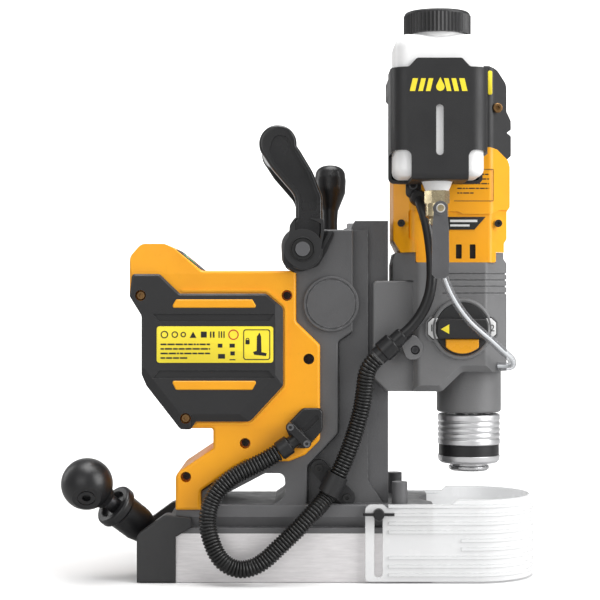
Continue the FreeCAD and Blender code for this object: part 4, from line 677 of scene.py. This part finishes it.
HEAD_SIDES = 24
HEAD_SECTIONS = (  # share of the radius, shift along Y, hexagonal
    (1.0, 1.2, False), (1.0, -0.9, False), (0.86, -1.3, False),
    (0.50, -1.3, True), (0.50, 0.3, True))
SOCKET_HEADS = (  # name, x, z, y, radius, look, body
    # The cover and cap screw heads are brown as painted shade of the deep holes round them.
    ("cover_screw_0", -122.5, 221.5, -48.0, 3.4, "shade_brown", "stand"),
    ("cover_screw_1", -88.0, 127.0, -48.0, 3.4, "shade_brown", "stand"),
    ("cap_screw", 152.8, 366.5, -43.6, 3.7, "shade_brown", "drill_unit"),
    ("lug_screw", 89.0, 179.4, -42.5, 3.1, "dark", "drill_unit"),
    # The seat screw's matte near-white is a painted highlight of a shiny steel head.
    ("seat_screw", 19.0, 268.6, -43.6, 2.4, "paper", "stand"),
)
HOOPS = (  # name, x, z, outer and inner radius, y, depth, look, body
    ("clamp_screw_0", -7.3, 121.1, 2.5, 1.3, -63.9, 0.5, "zinc", "stand"),
    ("clamp_screw_1", 5.1, 108.6, 2.5, 1.3, -63.9, 0.5, "zinc", "stand"),
    ("pivot_disc", 2, 257, 5.5, 0.1, -58.5, 0.4, "zinc", "stand"),
    ("tap_boss_ring", 104, 286, 5.2, 3.2, -97.9, 0.7, "zinc", "tap"),
    ("tap_boss", 104, 286, 3.3, 0.1, -97.9, 1.1, "paper", "tap"),
    ("cable_lug_ring", 87.2, 306.6, 3.4, 2.3, -47.5, 0.5, "zinc", "drill_unit"),
)
PLATES = (  # name, rounded box, y0, y1, look, body, bevel
    ("cable_lug", (81.5, 93.5, 296.5, 312.0, 4.5), -44.6, -47.6, "fitting", "drill_unit", 0.7),
    # The black sheet behind the vent slots is painted shade of the motor's inside.
    ("vent_shade_sheet", (112, 141, 248.5, 262.5, 1.0), -40.5, -39.3, "ink", "drill_unit", 0),
    ("cap_accent", (145.0, 148.4, 376.5, 395, 1.3), -44.9, -46.0, "lemon", "drill_unit", 0.3),
)
MOTOR_FACE_Y = -45.0
# Thin brown lines along the print panel's top, bottom and right edges: painted shade.
PANEL_SHADE_LINES = [(119, 149.5, 318.6, 319.2), (119, 149.5, 294.2, 294.8),
               (148.9, 149.5, 294.8, 318.6)]


def socket_head(name, x, z, y, radius, look, body):
    """Screw head facing -Y, with a chamfered rim and a hexagon recess."""
    made = bmesh.new()
    sixth = math.pi / 3
    loops = []
    for share, shift, hexagonal in HEAD_SECTIONS:
        corners = []
        for a in circle(HEAD_SIDES):
            reach = radius * share
            if hexagonal:
                reach *= math.cos(sixth / 2) / math.cos((a % sixth) - sixth / 2)
            corners.append((x + reach * math.cos(a), y + shift, z + reach * math.sin(a)))
        loops.append(add_loop(made, corners))
    join_loops(made, loops)
    made.faces.new(loops[0])
    made.faces.new(loops[-1])
    return as_object(name, made, look, body)


def small_parts():
    """Screws, rings, lugs and prints that the solids don't carry."""
    for row in SOCKET_HEADS:
        socket_head(*row)
    for row in HOOPS:
        hoop(*row)
    for name, corners, *rest in PLATES:
        plate(name, rounded(*corners), *rest)
    words = text_lines(121.5, 146, 315.5, count=5, spacing=3.6, height=0.9, start=5)
    bars("motor_print", words, MOTOR_FACE_Y, 0.1, "ink", "drill_unit")
    bars("motor_panel_shade_lines", PANEL_SHADE_LINES, MOTOR_FACE_Y, 0.12, "shade_brown", "drill_unit")


# --- camera, light, floor ---------------------------------------------------------------

FLOOR_Z = -0.0005
FLOOR_HALF_WIDTH = 4.5
FLOOR_NEAR_Y, FLOOR_FAR_Y = -3.0, 2.4
BEND_RADIUS, BEND_STEPS = 1.2, 24
BACKDROP_TOP = 4.5
LIGHTS = (  # name, place, aim, size, power
    ("key", (1.75, -0.95, 0.95), (0.05, 0, 0.2), (1.3, 1.6), 38),
    ("fill", (-0.9, -2.1, 0.9), (0, 0, 0.2), (1.6, 1.4), 10),
    ("top", (0.1, -0.1, 1.9), (0, 0, 0.2), (1.4, 1.4), 36),
    ("left_rim", (-1.5, 0.7, 0.8), (0, 0, 0.25), (0.5, 1.4), 6),
    ("backdrop", (0, 1.6, 2.2), (0, 3.4, 1.0), (3.0, 1.5), 110),
)
WORLD_LIGHT, WORLD_SEEN = 0.32, 1.0  # strength as light, and as seen by the camera
LENS, SENSOR = 97.5, 36.0
CAMERA_PLACE = (0.0, -1.3, 0.218)


def area_light(name, place, aim, size, power):
    data = bpy.data.lights.new(name, "AREA")
    data.shape, data.energy = "RECTANGLE", power
    data.size, data.size_y = size
    light = bpy.data.objects.new(name, data)
    light.location = place
    light.rotation_euler = (Vector(aim) - Vector(place)).to_track_quat("-Z", "Y").to_euler()
    bpy.context.scene.collection.objects.link(light)


def floor_paper():
    """Pale paper, darker where it only lights the object, so that it throws less light back."""
    g = Graph("floor_paper")
    paper = g.mix(g.noise(3.0, 2.0), rgba((0.90, 0.90, 0.90)), rgba((0.93, 0.93, 0.93)))
    seen_directly = g.node("LightPath").outputs["Is Camera Ray"]
    g.set(g.bsdf, {
        "Base Color": g.mix(seen_directly, rgba((0.42, 0.42, 0.42)), paper),
        "Roughness": 0.9, "Normal": g.bump(g.noise(60.0), 0.02, 0.002),
    })
    return g.material


def floor_sweep():
    """Floor that curves up into the backdrop."""
    made = bmesh.new()
    profile = [(FLOOR_NEAR_Y, FLOOR_Z), (FLOOR_FAR_Y, FLOOR_Z)]
    for k in range(1, BEND_STEPS + 1):
        a = math.pi / 2 * k / BEND_STEPS
        profile.append((FLOOR_FAR_Y + BEND_RADIUS * math.sin(a),
                        FLOOR_Z + BEND_RADIUS * (1 - math.cos(a))))
    profile.append((FLOOR_FAR_Y + BEND_RADIUS, BACKDROP_TOP))
    left = [made.verts.new((-FLOOR_HALF_WIDTH, y, z)) for y, z in profile]
    right = [made.verts.new((FLOOR_HALF_WIDTH, y, z)) for y, z in profile]
    for k in range(len(profile) - 1):
        made.faces.new((left[k], right[k], right[k + 1], left[k + 1]))
    mesh = bpy.data.meshes.new("floor")
    made.to_mesh(mesh)
    made.free()
    floor = bpy.data.objects.new("floor", mesh)
    mesh.materials.append(floor_paper())
    for polygon in mesh.polygons:
        polygon.use_smooth = True
    bpy.context.scene.collection.objects.link(floor)


def world_light():
    """White surroundings: plain white to the camera, dimmer as light."""
    world = bpy.data.worlds.new("studio")
    bpy.context.scene.world = world
    world.use_nodes = True
    tree = world.node_tree
    background = tree.nodes["Background"]
    background.inputs["Color"].default_value = (1, 1, 1, 1)
    seen = tree.nodes.new("ShaderNodeLightPath").outputs["Is Camera Ray"]
    level = tree.nodes.new("ShaderNodeMapRange")
    level.inputs["To Min"].default_value = WORLD_LIGHT
    level.inputs["To Max"].default_value = WORLD_SEEN
    tree.links.new(seen, level.inputs["Value"])
    tree.links.new(level.outputs["Result"], background.inputs["Strength"])


def level_camera():
    data = bpy.data.cameras.new("camera")
    data.lens, data.sensor_width = LENS, SENSOR
    data.clip_start, data.clip_end = 0.05, 20.0
    camera = bpy.data.objects.new("camera", data)
    camera.location = CAMERA_PLACE
    camera.rotation_euler = (math.pi / 2, 0, 0)
    bpy.context.scene.collection.objects.link(camera)
    bpy.context.scene.camera = camera


def studio():
    floor_sweep()
    for row in LIGHTS:
        area_light(*row)
    world_light()
    bpy.context.scene.view_settings.view_transform = "Standard"
    level_camera()


conduits()
rating_label()
motor_badge()
bottle_badge()
dial_prints()
hose()
small_parts()
studio()
